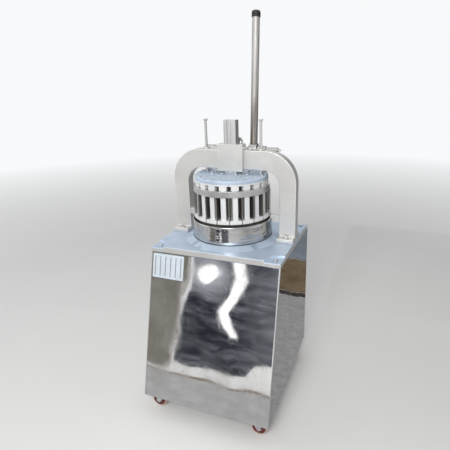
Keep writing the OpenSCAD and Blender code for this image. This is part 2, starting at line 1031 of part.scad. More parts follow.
// A foot on its post, with whatever is joined to the post
module presser(count, from_r, to_r, post_r, post_d, post_w) {
    difference() {
        union() {
            translate([0, 0, feet_z])
                linear_extrude(foot_h)
                    offset(delta = -slit)
                        sector(count, from_r, to_r);
            translate([0, 0, feet_top - post_root])
                linear_extrude(press_z - feet_top + post_root)
                    post_outline(post_r, post_d, post_w, 0);
            children();
        }
        translate([post_r, 0, press_z])
            hole(presser_screw_d + 2 * thread_gap, presser_screw_in + cut);
    }
}

// The wider block above the knife carrier, with the flange that meets the press plate
module presser_collar() {
    translate([0, 0, collar_z])
        linear_extrude(press_z - collar_z)
            post_outline(outer_post_r, outer_post_d, collar_w, 0);
    translate([0, 0, press_z - flange_t])
        linear_extrude(flange_t)
            sector(outer_count, press_r - flange_w, press_r, flange_trim);
}

module outer_pressers() {
    color("whitesmoke")
        at_head()
            ring_of(outer_count)
                presser(outer_count, middle_r, head_r + slit, outer_post_r, outer_post_d, outer_post_w)
                    presser_collar();
}

module middle_pressers() {
    color("whitesmoke")
        at_head()
            ring_of(middle_count)
                presser(middle_count, inner_r, middle_r, middle_post_r, middle_post_w, middle_post_w);
}

module inner_pressers() {
    color("whitesmoke")
        at_head()
            ring_of(inner_count)
                presser(inner_count, 0, inner_r, inner_post_r, inner_post_w, inner_post_w);
}

module presser_screws() {
    color("silver")
        each_presser_screw()
            bolt(
                presser_screw_d, 1.8 * presser_screw_d, presser_head_t,
                press_t + presser_screw_in, screw_fn);
}

module guide_rods() {
    color("silver")
        each_rod() {
            translate([0, 0, press_z])
                cylinder(d = rod_d, h = rod_top - press_z);
            translate([0, 0, rod_top])
                cylinder(d = rod_head_d, h = rod_head_t);
        }
}

module rod_nuts() {
    color("silver")
        each_rod()
            translate([0, 0, press_top])
                difference() {
                    cylinder(d = rod_nut_d, h = rod_nut_t, $fn = 6);
                    translate([0, 0, -cut])
                        cylinder(d = rod_d + 2 * thread_gap, h = rod_nut_t + 2 * cut);
                }
}

// Pinion, shaft and lever

function involute(a) = tan(a) * 180 / PI - a;

// Half the angle that a pinion tooth covers at radius r
function tooth_half(r) =
    (tooth_pitch - backlash) / 4 / pitch_r * 180 / PI
    + involute(pressure_angle) - involute(acos(base_r / r));

function polar(r, a) = [r * cos(a), r * sin(a)];

module pinion_outline() {
    steps = 5;
    radii = [for (i = [0:steps]) base_r + 0.001 + (pinion_r - base_r - 0.001) * i / steps];
    points = [for (t = [0:pinion_teeth - 1])
        let (mid = t * 360 / pinion_teeth)
        each concat(
            [polar(root_r, mid - tooth_half(radii[0]))],
            [for (i = [0:steps]) polar(radii[i], mid - tooth_half(radii[i]))],
            [for (i = [steps:-1:0]) polar(radii[i], mid + tooth_half(radii[i]))],
            [polar(root_r, mid + tooth_half(radii[0]))])];
    polygon(points);
}

module key_space(room) {
    translate([-key_len / 2 - room, -key_w / 2, shaft_d / 2 - key_in])
        cube([key_len + 2 * room, key_w, key_h]);
}

module pinion() {
    color("darkgray")
        at_shaft()
            difference() {
                across(-pinion_w / 2, pinion_w / 2)
                    rotate(180)
                        pinion_outline();
                along_x()
                    cylinder(d = shaft_d, h = pinion_w + 2 * cut, center = true);
                key_space(2);
            }
}

module pinion_key() {
    color("dimgray")
        at_shaft()
            key_space(0);
}

module pinion_shaft() {
    color("silver")
        at_shaft()
            difference() {
                union() {
                    translate([left_from - end_gap, 0, 0])
                        along_x()
                            cylinder(d = shaft_d, h = shaft_end - left_from + end_gap);
                    translate([left_to + end_gap, 0, 0])
                        along_x()
                            cylinder(d = shoulder_d, h = shoulder_w);
                }
                key_space(0);
                translate([left_from - end_gap, 0, 0])
                    rotate([0, -90, 0])
                        hole(end_bolt_d + 2 * thread_gap, end_bolt_in + cut);
                translate([shaft_end, 0, 0])
                    along_x()
                        hole(nipple_d + 2 * thread_gap, nipple_in + cut);
                translate([lever_x, 0, -shaft_d / 2])
                    cylinder(d = set_screw_d + 2 * thread_gap, h = set_screw_d, center = true, $fn = screw_fn);
            }
}

module end_bolt() {
    cylinder(d = washer_d, h = washer_t);
    translate([0, 0, washer_t])
        bolt(end_bolt_d, end_head_d, end_head_t, washer_t + end_bolt_in, 6);
}

// Grease nipple: a threaded shank, a collar, a neck and a ball
module nipple() {
    rotate_extrude($fn = 24)
        polygon([
            [0, -nipple_in], [nipple_d / 2, -nipple_in], [nipple_d / 2, 0], [4, 0], [4, 4],
            [2.2, 5.5], [3.2, 7.5], [2.6, 9.5], [0, 10]]);
}

module shaft_end_bolts() {
    color("silver")
        at_shaft() {
            translate([shaft_end, 0, 0])
                along_x()
                    nipple();
            translate([left_from - end_gap, 0, 0])
                rotate([0, -90, 0])
                    end_bolt();
        }
}

module lever_hub() {
    color("lightgray")
        difference() {
            at_shaft()
                translate([lever_x, 0, 0])
                    along_x()
                        cylinder(d = hub_d, h = hub_w, center = true);
            at_shaft()
                translate([lever_x, 0, 0])
                    along_x()
                        cylinder(d = shaft_d, h = hub_w + 2 * cut, center = true);
            at_lever()
                translate([0, 0, tube_foot])
                    cylinder(d = lever_d, h = hub_d);
            at_shaft()
                translate([lever_x, 0, -hub_d])
                    cylinder(d = set_screw_d + 2 * thread_gap, h = hub_d, $fn = screw_fn);
        }
}

module hub_set_screw() {
    color("dimgray")
        at_shaft()
            translate([lever_x, 0, -hub_d / 2 - 1])
                cylinder(d = set_screw_d, h = hub_d / 2 - shaft_d / 2 + set_screw_d / 2, $fn = screw_fn);
}

module lever_tube() {
    color("silver")
        at_lever()
            translate([0, 0, tube_foot])
                difference() {
                    cylinder(d = lever_d, h = lever_len - tube_foot - cap_roof);
                    translate([0, 0, lever_wall])
                        cylinder(d = lever_d - 2 * lever_wall, h = lever_len);
                }
}

module lever_cap() {
    color("black")
        at_lever()
            rotate_extrude()
                polygon([
                    [lever_d / 2, cap_z], [cap_d / 2, cap_z], [cap_d / 2, lever_len - cap_round],
                    [cap_d / 2 - cap_round, lever_len], [0, lever_len],
                    [0, lever_len - cap_roof], [lever_d / 2, lever_len - cap_roof]]);
}

// Casters

module caster_plates() {
    color("silver")
        difference() {
            each_caster() {
                translate([-caster_plate_w / 2, -caster_plate_w / 2, base_z - caster_plate_t])
                    cube([caster_plate_w, caster_plate_w, caster_plate_t]);
                translate([0, 0, base_z - caster_plate_t - race_t])
                    cylinder(r = race_r, h = race_t + 0.1);
            }
            each_caster()
                translate([0, 0, crown_top])
                    cylinder(d = swivel_d + 2 * caster_gap, h = base_z - 0.5 - crown_top);
            each_caster_screw()
                hole(caster_screw_d + 2 * thread_gap, base_t + caster_plate_t + cut);
        }
}

module caster_screws() {
    color("dimgray")
        each_caster_screw()
            bolt(caster_screw_d, 1.6 * caster_screw_d, caster_head_t, base_t + caster_plate_t, screw_fn);
}

module fork_leg() {
    rotate([90, 0, 0])
        linear_extrude(fork_t)
            hull() {
                translate([trail, wheel_r])
                    circle(8, $fn = 24);
                translate([-crown_r * 0.7, crown_top - crown_t])
                    square([crown_r * 1.5, crown_t]);
            }
}

module caster_fork(i) {
    color("silver")
        at_caster(i)
            difference() {
                union() {
                    translate([0, 0, crown_top - crown_t])
                        cylinder(r = crown_r, h = crown_t);
                    translate([0, 0, crown_top - 0.1])
                        cylinder(d = swivel_d, h = base_z - 1 - crown_top);
                    for (y = [-fork_in, fork_in + fork_t])
                        translate([0, y, 0])
                            fork_leg();
                }
                translate([trail, 0, wheel_r])
                    rotate([90, 0, 0])
                        cylinder(d = axle_d, h = 4 * fork_in, center = true);
            }
}

module caster_axle(i) {
    color("dimgray")
        at_caster(i)
            translate([trail, 0, wheel_r])
                rotate([90, 0, 0]) {
                    cylinder(d = axle_d, h = 2 * (fork_in + fork_t), center = true);
                    for (s = [-1, 1])
                        translate([0, 0, s * (fork_in + fork_t + 1)])
                            cylinder(d = axle_d + 4, h = 2, center = true);
                }
}

module caster_wheel(i) {
    r = wheel_r;
    h = wheel_w / 2;
    bore = axle_d / 2 + caster_gap;
    color("firebrick")
        at_caster(i)
            translate([trail, 0, wheel_r])
                rotate([90, 0, 0])
                    rotate_extrude($fn = wheel_fn)
                        polygon([
                            [bore, -h], [r * 0.4, -h], [r * 0.5, -h + 3], [r * 0.72, -h + 3], [r * 0.78, -h],
                            [r - 3, -h], [r, -h + 4], [r, h - 4], [r - 3, h],
                            [r * 0.78, h], [r * 0.72, h - 3], [r * 0.5, h - 3], [r * 0.4, h], [bore, h]]);
}

front_panel();
side_panel_left();
side_panel_right();
back_panel();
base_plate();
corner_angles();
top_plate();
corner_screws();
arch_frame();
foot_bolts();
guide_block();
guide_block_screws();
oil_cup();
bearing_left();
bearing_right();
shaft_bushes();
bearing_bolts();
rod_bushes();
pan_lugs();
pan_lug_screws();
dough_pan();
cutting_board();
rack();
rack_screws();
knife_carrier();
ring_knives();
outer_knives();
middle_knives();
inner_knives();
press_plate();
outer_pressers();
middle_pressers();
inner_pressers();
presser_screws();
guide_rods();
rod_nuts();
pinion();
pinion_key();
pinion_shaft();
shaft_end_bolts();
lever_hub();
hub_set_screw();
lever_tube();
lever_cap();
caster_plates();
caster_screws();
caster_fork(1);  // caster_fork_1
caster_fork(2);  // caster_fork_2
caster_fork(3);  // caster_fork_3
caster_fork(4);  // caster_fork_4
caster_axle(1);  // caster_axle_1
caster_axle(2);  // caster_axle_2
caster_axle(3);  // caster_axle_3
caster_axle(4);  // caster_axle_4
caster_wheel(1);  // caster_wheel_1
caster_wheel(2);  // caster_wheel_2
caster_wheel(3);  // caster_wheel_3
caster_wheel(4);  // caster_wheel_4
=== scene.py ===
# %% [markdown]
# This lesson dresses a hand lever dough divider: a mirror polished cabinet on casters, a cast top plate, an
# arch that carries a rack and pinion, and a round head of pressers and knives over a polished pan. The
# solids are already in place at their real size. What they lack is what an eye looks for first: softened
# edges, turned and polished surfaces, and sockets in the screws. The frame gives every place, so nothing is
# fitted by hand.

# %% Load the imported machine
import json
from math import cos, pi, radians, sin, tau

import bmesh
import bpy
from mathutils import Matrix, Vector


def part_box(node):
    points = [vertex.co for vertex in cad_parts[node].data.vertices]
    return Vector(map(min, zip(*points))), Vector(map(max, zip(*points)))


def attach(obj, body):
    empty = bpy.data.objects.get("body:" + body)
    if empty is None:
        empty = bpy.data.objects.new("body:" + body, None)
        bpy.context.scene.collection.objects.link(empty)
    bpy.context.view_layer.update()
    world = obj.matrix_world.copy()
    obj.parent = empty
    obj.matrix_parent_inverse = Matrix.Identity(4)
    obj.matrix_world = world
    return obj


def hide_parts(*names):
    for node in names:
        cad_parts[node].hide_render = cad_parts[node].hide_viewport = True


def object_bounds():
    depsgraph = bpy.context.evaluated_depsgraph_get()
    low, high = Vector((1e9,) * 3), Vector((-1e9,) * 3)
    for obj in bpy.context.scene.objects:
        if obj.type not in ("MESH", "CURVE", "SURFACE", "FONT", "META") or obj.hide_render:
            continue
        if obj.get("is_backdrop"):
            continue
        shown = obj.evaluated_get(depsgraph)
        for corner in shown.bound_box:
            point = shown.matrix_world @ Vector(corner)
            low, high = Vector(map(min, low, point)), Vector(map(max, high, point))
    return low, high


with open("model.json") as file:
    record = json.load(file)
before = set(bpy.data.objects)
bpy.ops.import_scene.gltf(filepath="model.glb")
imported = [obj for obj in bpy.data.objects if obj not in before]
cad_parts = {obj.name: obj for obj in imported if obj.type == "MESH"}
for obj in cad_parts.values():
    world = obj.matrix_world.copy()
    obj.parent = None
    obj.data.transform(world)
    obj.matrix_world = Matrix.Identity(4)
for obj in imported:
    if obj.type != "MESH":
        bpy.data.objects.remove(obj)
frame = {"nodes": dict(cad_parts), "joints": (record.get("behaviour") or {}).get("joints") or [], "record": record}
cad_low, cad_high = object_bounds()
MM = 0.001
nodes = frame["nodes"]
record = frame["record"]
body_of = {name: body for body, names in record["behaviour"]["bodies"].items() for name in names}
slot_of = {row["node"]: row["material_slot"] for row in record["subparts"]}
print("machine", len(nodes), "nodes,", [round(side / MM) for side in cad_high - cad_low], "mm")

# %% [markdown]
# The camera stands a little right of the middle, at breast height, and looks down. Its place comes from
# fitting the cabinet's edges. A camera can also be aimed with a Track To constraint, but a matrix built
# from three axes says plainly which way is right, up and ahead, and it takes the slight tilt of a hand-held
# shot as one more turn.

# %% Camera
YAW = radians(20.87)
PITCH = radians(17.79)
TILT = radians(-1.1)
EYE = Vector((0.4525, -1.0355, 0.9430))
right = Vector((cos(YAW), sin(YAW), 0))
ahead = Vector((-sin(YAW) * cos(PITCH), cos(YAW) * cos(PITCH), -sin(PITCH)))
above = right.cross(ahead)
across_image = right * cos(TILT) + above * sin(TILT)
up_image = above * cos(TILT) - right * sin(TILT)
lens = bpy.data.cameras.new("camera")
lens.sensor_width = 36
lens.lens = 31.52
lens.shift_x = -0.0442
lens.shift_y = -0.0204
camera = bpy.data.objects.new("camera", lens)
turn = Matrix((across_image, up_image, -ahead)).transposed().to_4x4()
camera.matrix_world = Matrix.Translation(EYE) @ turn
scene = bpy.context.scene
scene.collection.objects.link(camera)
scene.camera = camera
scene.view_settings.view_transform = "Standard"
print("camera", round(lens.lens, 1), "mm lens at", [round(v, 2) for v in EYE])

# %% [markdown]
# Every finish below is a node tree. Writing each link by hand hides the idea, so a few helpers do the
# joining: one adds a node and sets or links its inputs, one makes a ramp between two colours, one moves a
# mask into a range of values, and one turns a height into a bump.

# %% Node helpers
def feed(tree, socket, value):
    """Links an input to another socket, or sets it to a value."""
    if isinstance(value, bpy.types.NodeSocket):
        tree.links.new(value, socket)
    else:
        socket.default_value = value


def put(tree, kind, settings=None, **inputs):
    """Adds a shader node and feeds its inputs, which are named with _ for a space."""
    made = tree.nodes.new("ShaderNode" + kind)
    for name, value in (settings or {}).items():
        setattr(made, name, value)
    for name, value in inputs.items():
        feed(tree, made.inputs[name.replace("_", " ")], value)
    return made


def calc(tree, operation, first, second):
    made = put(tree, "Math", {"operation": operation})
    feed(tree, made.inputs[0], first)
    feed(tree, made.inputs[1], second)
    return made.outputs["Value"]


def tint(tree, mask, low, high, start=0.0, end=1.0):
    ramp = put(tree, "ValToRGB", Fac=mask)
    for stop, place, colour in zip(ramp.color_ramp.elements, (start, end), (low, high)):
        stop.position = place
        stop.color = (*colour, 1)
    return ramp.outputs["Color"]


def level(tree, mask, low, high, start=0.0, end=1.0):
    made = put(tree, "MapRange", From_Min=start, From_Max=end, To_Min=low, To_Max=high, Value=mask)
    return made.outputs["Result"]


def bump(tree, height, distance, strength=1.0, under=None):
    made = put(tree, "Bump", Height=height, Distance=distance, Strength=strength)
    if under is not None:
        tree.links.new(under, made.inputs["Normal"])
    return made.outputs["Normal"]


def stretched(tree, where, scale, rotation=(0, 0, 0)):
    return put(tree, "Mapping", Vector=where, Scale=scale, Rotation=rotation).outputs["Vector"]


def noise(tree, where, scale, detail=3.0, roughness=0.5):
    made = put(tree, "TexNoise", Vector=where, Scale=scale, Detail=detail, Roughness=roughness)
    return made.outputs["Fac"]


print("node helpers ready")

# %% [markdown]
# Some effects turn up on many metals: fine lines left by a polishing mop or a cutter, cloudy marks of hands
# and cloths, slow waves in thin sheet, brighter metal where an edge is rubbed, and the grain of a casting.
# Each is a node group, built once, with a place and a scale going in. Only masks and heights come out of
# it, and the shader stays in the material.

# %% Shared effects as node groups
def fine_lines(tree, where, scale):
    sparse = noise(tree, where, calc(tree, "MULTIPLY", scale, 0.35), 1.0, 0.4)
    scratches = level(tree, sparse, 0.0, 1.0, 0.62, 0.74)
    return {"Lines": noise(tree, where, scale, 2.0, 0.6), "Scratches": scratches}


def hand_marks(tree, where, scale):
    cloud = noise(tree, where, scale, 5.0, 0.62)
    wipe = noise(tree, stretched(tree, where, (1.0, 1.0, 0.22), (0.0, 0.5, 0.0)), 26.0, 3.0, 0.5)
    return {"Marks": level(tree, calc(tree, "MULTIPLY", cloud, wipe), 0.0, 1.0, 0.16, 0.42)}


def sheet_waves(tree, where, scale):
    slow = noise(tree, where, scale, 1.0, 0.4)
    quick = noise(tree, where, calc(tree, "MULTIPLY", scale, 3.1), 1.0, 0.4)
    return {"Height": calc(tree, "ADD", slow, calc(tree, "MULTIPLY", quick, 0.16))}


def edge_wear(tree, where, scale):
    bevelled = put(tree, "Attribute", {"attribute_name": "wear"}).outputs["Fac"]
    broken = level(tree, noise(tree, where, scale, 4.0, 0.6), 0.35, 1.0, 0.35, 0.62)
    return {"Worn": calc(tree, "MULTIPLY", bevelled, broken)}


def cast_grain(tree, where, scale):
    grain = noise(tree, where, scale, 3.0, 0.65)
    return {"Height": grain, "Patches": noise(tree, where, 14.0, 4.0, 0.55)}


def effect(make):
    """Builds a node group whose outputs are the masks and heights that a function makes."""
    tree = bpy.data.node_groups.new(make.__name__, "ShaderNodeTree")
    tree.interface.new_socket("Vector", in_out="INPUT", socket_type="NodeSocketVector")
    tree.interface.new_socket("Scale", in_out="INPUT", socket_type="NodeSocketFloat")
    given = tree.nodes.new("NodeGroupInput").outputs
    made = make(tree, given["Vector"], given["Scale"])
    for name in made:
        tree.interface.new_socket(name, in_out="OUTPUT", socket_type="NodeSocketFloat")
    result = tree.nodes.new("NodeGroupOutput").inputs
    for name, socket in made.items():
        tree.links.new(socket, result[name])
    return tree


MAKERS = (fine_lines, hand_marks, sheet_waves, edge_wear, cast_grain)
EFFECTS = {make.__name__: effect(make) for make in MAKERS}
print("effects:", ", ".join(EFFECTS))

# %% [markdown]
# A finish starts as one Principled BSDF. What is the same all over, such as how metallic a metal is, is set
# on the shader's own socket. What changes over the surface is linked to it. Wear is a mask that is added to
# another, so that a rubbed edge moves the colour towards its brighter end. Finishes are kept by the slot
# that the solids name, and a few solids have one of their own.

# %% Start and end of every finish
FINISH = {}
OWN_FINISH = {}


def use(tree, name, where, scale):
    """Places one of the shared effects in a material and returns its outputs."""
    made = tree.nodes.new("ShaderNodeGroup")
    made.node_tree = EFFECTS[name]
    feed(tree, made.inputs["Vector"], where)
    feed(tree, made.inputs["Scale"], scale)
    return made.outputs


def rubbed(tree, where, scale, gain, mask):
    """A mask with the rubbed edges added to it."""
    worn = use(tree, "edge_wear", where, scale)["Worn"]
    return calc(tree, "ADD", mask, calc(tree, "MULTIPLY", worn, gain))


def finish(name):
    """Returns a new material, its tree and its object coordinates."""
    material = bpy.data.materials.new(name)
    material.use_nodes = True
    tree = material.node_tree
    return material, tree, put(tree, "TexCoord").outputs["Object"]


def dress(material, **inputs):
    """Feeds the shader of a material and tells how many nodes the finish has."""
    tree = material.node_tree
    for name, value in inputs.items():
        feed(tree, tree.nodes["Principled BSDF"].inputs[name.replace("_", " ")], value)
    print("finish", material.name, "of", len(tree.nodes), "nodes")
    return material


print("finishes for", len(record["materials"]), "slots")

# %% [markdown]
# The cabinet is stainless sheet polished to a mirror. Thin sheet is never quite flat, so what it mirrors
# comes out wavy: that is the mark of the real thing and worth more than any colour. A Bump node with slow
# waves does it without moving a vertex. The polishing mop leaves hairlines in wide arcs, which a ring wave
# with some distortion draws, and wiped patches roughen the sheet here and there.

# %% Mirror polished sheet
def mirror_sheet():
    material, tree, where = finish("mirror_sheet")
    marks = use(tree, "hand_marks", where, 7.0)["Marks"]
    mop = use(tree, "fine_lines", stretched(tree, where, (1.0, 1.0, 0.05), (0, 0.35, 0)), 520.0)
    rings = {"wave_type": "RINGS", "rings_direction": "SPHERICAL"}
    arcs = put(tree, "TexWave", rings, Vector=where, Scale=34.0, Distortion=1.6, Detail=1.0, Detail_Scale=0.8)
    hairlines = level(tree, arcs.outputs["Fac"], 0.0, 0.05, 0.97, 1.0)
    rough = calc(tree, "ADD", level(tree, marks, 0.03, 0.11), level(tree, mop["Scratches"], 0.0, 0.07))
    waves = use(tree, "sheet_waves", where, 4.6)["Height"]
    return dress(
        material, Metallic=1.0, Base_Color=tint(tree, marks, (0.73, 0.73, 0.735), (0.65, 0.645, 0.64)),
        Roughness=calc(tree, "ADD", rough, hairlines),
        Normal=bump(tree, mop["Lines"], 0.00001, 0.6, bump(tree, waves, 0.0035)))


FINISH["panel_steel"] = mirror_sheet()

# %% [markdown]
# The top plate and the press plate are cast light alloy, faced and rubbed to a satin. A little of the blue is in
# the metal itself, and the rest is the cool light from above, painted into the base colour as a painted reflection
# of the sky.

# %% Faced light alloy, satin with painted sky
def sky_painted_satin():
    material, tree, where = finish("sky_painted_satin")
    grain = use(tree, "cast_grain", where, 700.0)
    marks = use(tree, "hand_marks", where, 12.0)["Marks"]
    shade = rubbed(tree, where, 45.0, 0.5, level(tree, grain["Patches"], 0.0, 0.55, 0.3, 0.75))
    # The blue ramp is partly the alloy's own tone and partly a painted reflection of the sky above.
    return dress(
        material, Metallic=0.6, Base_Color=tint(tree, shade, (0.46, 0.55, 0.665), (0.64, 0.74, 0.86)),
        Roughness=level(tree, marks, 0.48, 0.62), Normal=bump(tree, grain["Height"], 0.00004, 0.5))


FINISH["plate_alloy"] = sky_painted_satin()

# %% [markdown]
# The arch, its guide block, the bearings and the lugs are warm grey alloy castings with milled faces. Their
# corners are rubbed brighter. The mask for that comes from an attribute that the bevelled faces carry,
# broken up by noise, because real wear is never an even stripe.

# %% Milled casting, warm grey
def milled_casting():
    material, tree, where = finish("milled_casting")
    grain = use(tree, "cast_grain", where, 820.0)
    cutter = use(tree, "fine_lines", stretched(tree, where, (0.06, 1.0, 1.0)), 700.0)["Lines"]
    shade = rubbed(tree, where, 70.0, 0.5, level(tree, grain["Patches"], 0.0, 0.5, 0.3, 0.75))
    cast = bump(tree, grain["Height"], 0.00004, 0.5)
    return dress(
        material, Metallic=0.5, Base_Color=tint(tree, shade, (0.57, 0.565, 0.55), (0.80, 0.795, 0.78)),
        Roughness=level(tree, cutter, 0.36, 0.48), Normal=bump(tree, cutter, 0.00002, 0.4, cast))


FINISH["arch_alloy"] = milled_casting()

# %% [markdown]
# The pressers touch dough, so they are machined bright and polished by use. A whiter base than that of the
# castings sets the head apart from the arch. The cutter's lines run up and down the posts.

# %% Bright machined alloy
def bright_alloy():
    material, tree, where = finish("bright_alloy")
    cutter = use(tree, "fine_lines", stretched(tree, where, (1.0, 1.0, 0.08)), 900.0)["Lines"]
    marks = use(tree, "hand_marks", where, 30.0)["Marks"]
    shade = rubbed(tree, where, 120.0, 0.4, level(tree, cutter, 0.0, 0.6, 0.25, 0.75))
    return dress(
        material, Metallic=0.4, Base_Color=tint(tree, shade, (0.70, 0.715, 0.73), (0.90, 0.905, 0.91)),
        Roughness=level(tree, marks, 0.46, 0.60), Normal=bump(tree, cutter, 0.00003, 0.5))


FINISH["head_alloy"] = bright_alloy()

# %% [markdown]
# The shaft, the hub, the guide rods and the bright bolts are polished steel that was turned first. Turning
# leaves rings across the axis. Most of these parts stand upright, so the lines are stretched around Z and
# lie close together along it.

# %% Polished turned steel
def polished_steel():
    material, tree, where = finish("polished_steel")
    rings = use(tree, "fine_lines", stretched(tree, where, (0.04, 0.04, 1.0)), 900.0)
    marks = use(tree, "hand_marks", where, 16.0)["Marks"]
    shade = rubbed(tree, where, 90.0, 1.0, level(tree, marks, 0.6, 0.1))
    rough = calc(tree, "ADD", level(tree, marks, 0.09, 0.22), level(tree, rings["Scratches"], 0.0, 0.1))
    return dress(
        material, Metallic=1.0, Base_Color=tint(tree, shade, (0.50, 0.495, 0.48), (0.72, 0.72, 0.715)),
        Roughness=rough, Normal=bump(tree, rings["Lines"], 0.00002, 0.5))


FINISH["bright_steel"] = polished_steel()

# %% [markdown]
# The pan was spun over a form and polished on the lathe. The roller leaves rings a few millimetres apart,
# too shallow to feel, but a mirror shows them: whatever stands around the pan is drawn out into streaks
# along its wall. The same slow waves as in the cabinet sheet do it, squeezed until they run around the
# axis.

# %% Spun and polished steel
def spun_steel():
    material, tree, where = finish("spun_steel")
    rings = use(tree, "sheet_waves", stretched(tree, where, (0.10, 0.10, 1.0)), 75.0)["Height"]
    lines = use(tree, "fine_lines", stretched(tree, where, (0.03, 0.03, 1.0)), 900.0)
    marks = use(tree, "hand_marks", where, 20.0)["Marks"]
    rough = calc(tree, "ADD", level(tree, marks, 0.07, 0.20), level(tree, lines["Scratches"], 0.0, 0.08))
    return dress(
        material, Metallic=1.0, Base_Color=tint(tree, marks, (0.55, 0.55, 0.555), (0.38, 0.37, 0.355)),
        Roughness=rough, Normal=bump(tree, lines["Lines"], 0.00002, 0.5, bump(tree, rings, 0.0022)))


OWN_FINISH["dough_pan"] = spun_steel()

# %% [markdown]
# The lever is drawn tube, with bright steel on its upper half. Its lower half, near the oiled hub, is painted
# brown as a painted reflection of brown surroundings. The height in the object's own coordinates mixes the two,
# and soft streaks run along the tube, partly the drawing die's lines and partly painted highlights. The tube
# leans back a little, so the streaks lean with it.

# %% Drawn tube with a painted brown reflection below
LEAN = radians(-5)
BROWN_REFLECTION_UP_TO = 0.86
BRIGHT_FROM = 1.0


def drawn_tube():
    material, tree, where = finish("drawn_tube")
    height = put(tree, "SeparateXYZ", Vector=where).outputs["Z"]
    upright = stretched(tree, where, (1.0, 1.0, 1.0), (-LEAN, 0.0, 0.0))
    streaks = noise(tree, stretched(tree, upright, (1.0, 1.0, 0.06)), 190.0, 1.5, 0.5)
    marks = use(tree, "hand_marks", where, 34.0)["Marks"]
    upper = level(tree, height, 0.0, 0.56, BROWN_REFLECTION_UP_TO, BRIGHT_FROM)
    # The brown low end is a painted reflection, and the lighter streaks are partly die lines and partly painted
    # highlights.
    bright_and_streaks = calc(tree, "ADD", upper, level(tree, streaks, 0.0, 0.44, 0.34, 0.66))
    return dress(
        material, Metallic=0.8, Base_Color=tint(tree, bright_and_streaks, (0.14, 0.114, 0.099), (0.48, 0.48, 0.475)),
        Roughness=level(tree, marks, 0.53, 0.59))


OWN_FINISH["lever_tube"] = drawn_tube()

# %% [markdown]
# The knife carrier is turned from a thick disc and stays the darkest band of the head. Its turning lines
# run round the rim, so the line mask is drawn out in X and Y.

# %% Turned carrier band
def turned_band():
    material, tree, where = finish("turned_band")
    lines = use(tree, "fine_lines", stretched(tree, where, (0.08, 0.08, 1.0)), 520.0)["Lines"]
    marks = use(tree, "hand_marks", where, 26.0)["Marks"]
    shade = rubbed(tree, where, 110.0, 0.5, level(tree, lines, 0.0, 0.6, 0.3, 0.7))
    return dress(
        material, Metallic=0.85, Base_Color=tint(tree, shade, (0.42, 0.415, 0.41), (0.70, 0.70, 0.695)),
        Roughness=level(tree, marks, 0.28, 0.46), Normal=bump(tree, lines, 0.00004, 0.6))


OWN_FINISH["knife_carrier"] = turned_band()

# %% [markdown]
# The rack is a square bar, milled along its length. The cutter leaves light and dark streaks from end to
# end, so noise that is stretched to almost nothing along the bar darkens a pale grey.

# %% Streaked rack bar
def streaked_bar():
    material, tree, where = finish("streaked_bar")
    along = stretched(tree, where, (1.0, 1.0, 0.008))
    streaks = use(tree, "fine_lines", along, 1100.0)["Lines"]
    bands = level(tree, noise(tree, along, 460.0, 2.0, 0.5), 0.0, 0.55, 0.52, 0.64)
    dark = calc(tree, "ADD", bands, level(tree, streaks, 0.0, 0.2, 0.4, 0.7))
    shade = rubbed(tree, where, 150.0, 0.2, calc(tree, "SUBTRACT", 0.9, dark))
    return dress(
        material, Metallic=0.8, Base_Color=tint(tree, shade, (0.18, 0.18, 0.185), (0.73, 0.73, 0.73)),
        Roughness=level(tree, streaks, 0.28, 0.42), Normal=bump(tree, streaks, 0.00006, 0.6))


OWN_FINISH["rack"] = streaked_bar()

# %% [markdown]
# The pinion and the knives are tool steel straight from the milling machine. The cutter's streaks show here
# too, with a film of oil between them. The knives are made darker than the pinion as painted shade for the
# dark windows between the posts where they stand, so one function makes both steels from a dull and a bright
# shade.

# %% Milled tool steel
def tool_steel(name, dull, bright):
    material, tree, where = finish(name)
    streaks = use(tree, "fine_lines", stretched(tree, where, (1.0, 1.0, 0.03)), 420.0)["Lines"]
    oil = use(tree, "hand_marks", where, 22.0)["Marks"]
    shade = rubbed(tree, where, 150.0, 0.4, level(tree, streaks, 0.0, 0.8, 0.3, 0.7))
    return dress(
        material, Metallic=1.0, Base_Color=tint(tree, shade, dull, bright),
        Roughness=level(tree, oil, 0.36, 0.22), Normal=bump(tree, streaks, 0.00006, 0.6))


FINISH["tool_steel"] = tool_steel("milled_steel", (0.46, 0.46, 0.465), (0.76, 0.76, 0.76))
# The knives' dark shades are painted shade for the shadowed windows of the head.
KNIFE_STEEL_IN_PAINTED_SHADE = tool_steel("knife_steel_painted_shade", (0.20, 0.19, 0.18), (0.46, 0.45, 0.43))
OWN_FINISH.update({row + "_knives": KNIFE_STEEL_IN_PAINTED_SHADE for row in ("ring", "outer", "middle", "inner")})

# %% [markdown]
# Three plainer finishes: oiled black screws whose edges have gone bright, zinc plate with its cloudy bloom,
# and turned bronze for the bushes. The corner screws and the pressers' screws are plated, not black.

# %% Screws, zinc plate and bronze
def oiled_steel():
    material, tree, where = finish("oiled_steel")
    worn = use(tree, "edge_wear", where, 300.0)["Worn"]
    marks = use(tree, "hand_marks", where, 60.0)["Marks"]
    return dress(
        material, Metallic=1.0, Base_Color=tint(tree, worn, (0.16, 0.16, 0.165), (0.55, 0.55, 0.55)),
        Roughness=level(tree, marks, 0.3, 0.5))


def zinc_plate():
    material, tree, where = finish("zinc_plate")
    bloom = use(tree, "cast_grain", where, 500.0)
    shade = rubbed(tree, where, 160.0, 0.3, level(tree, bloom["Patches"], 0.1, 0.7, 0.35, 0.65))
    return dress(
        material, Metallic=1.0, Base_Color=tint(tree, shade, (0.48, 0.49, 0.52), (0.72, 0.73, 0.74)),
        Roughness=level(tree, bloom["Patches"], 0.3, 0.46, 0.3, 0.7),
        Normal=bump(tree, bloom["Height"], 0.00003, 0.5))


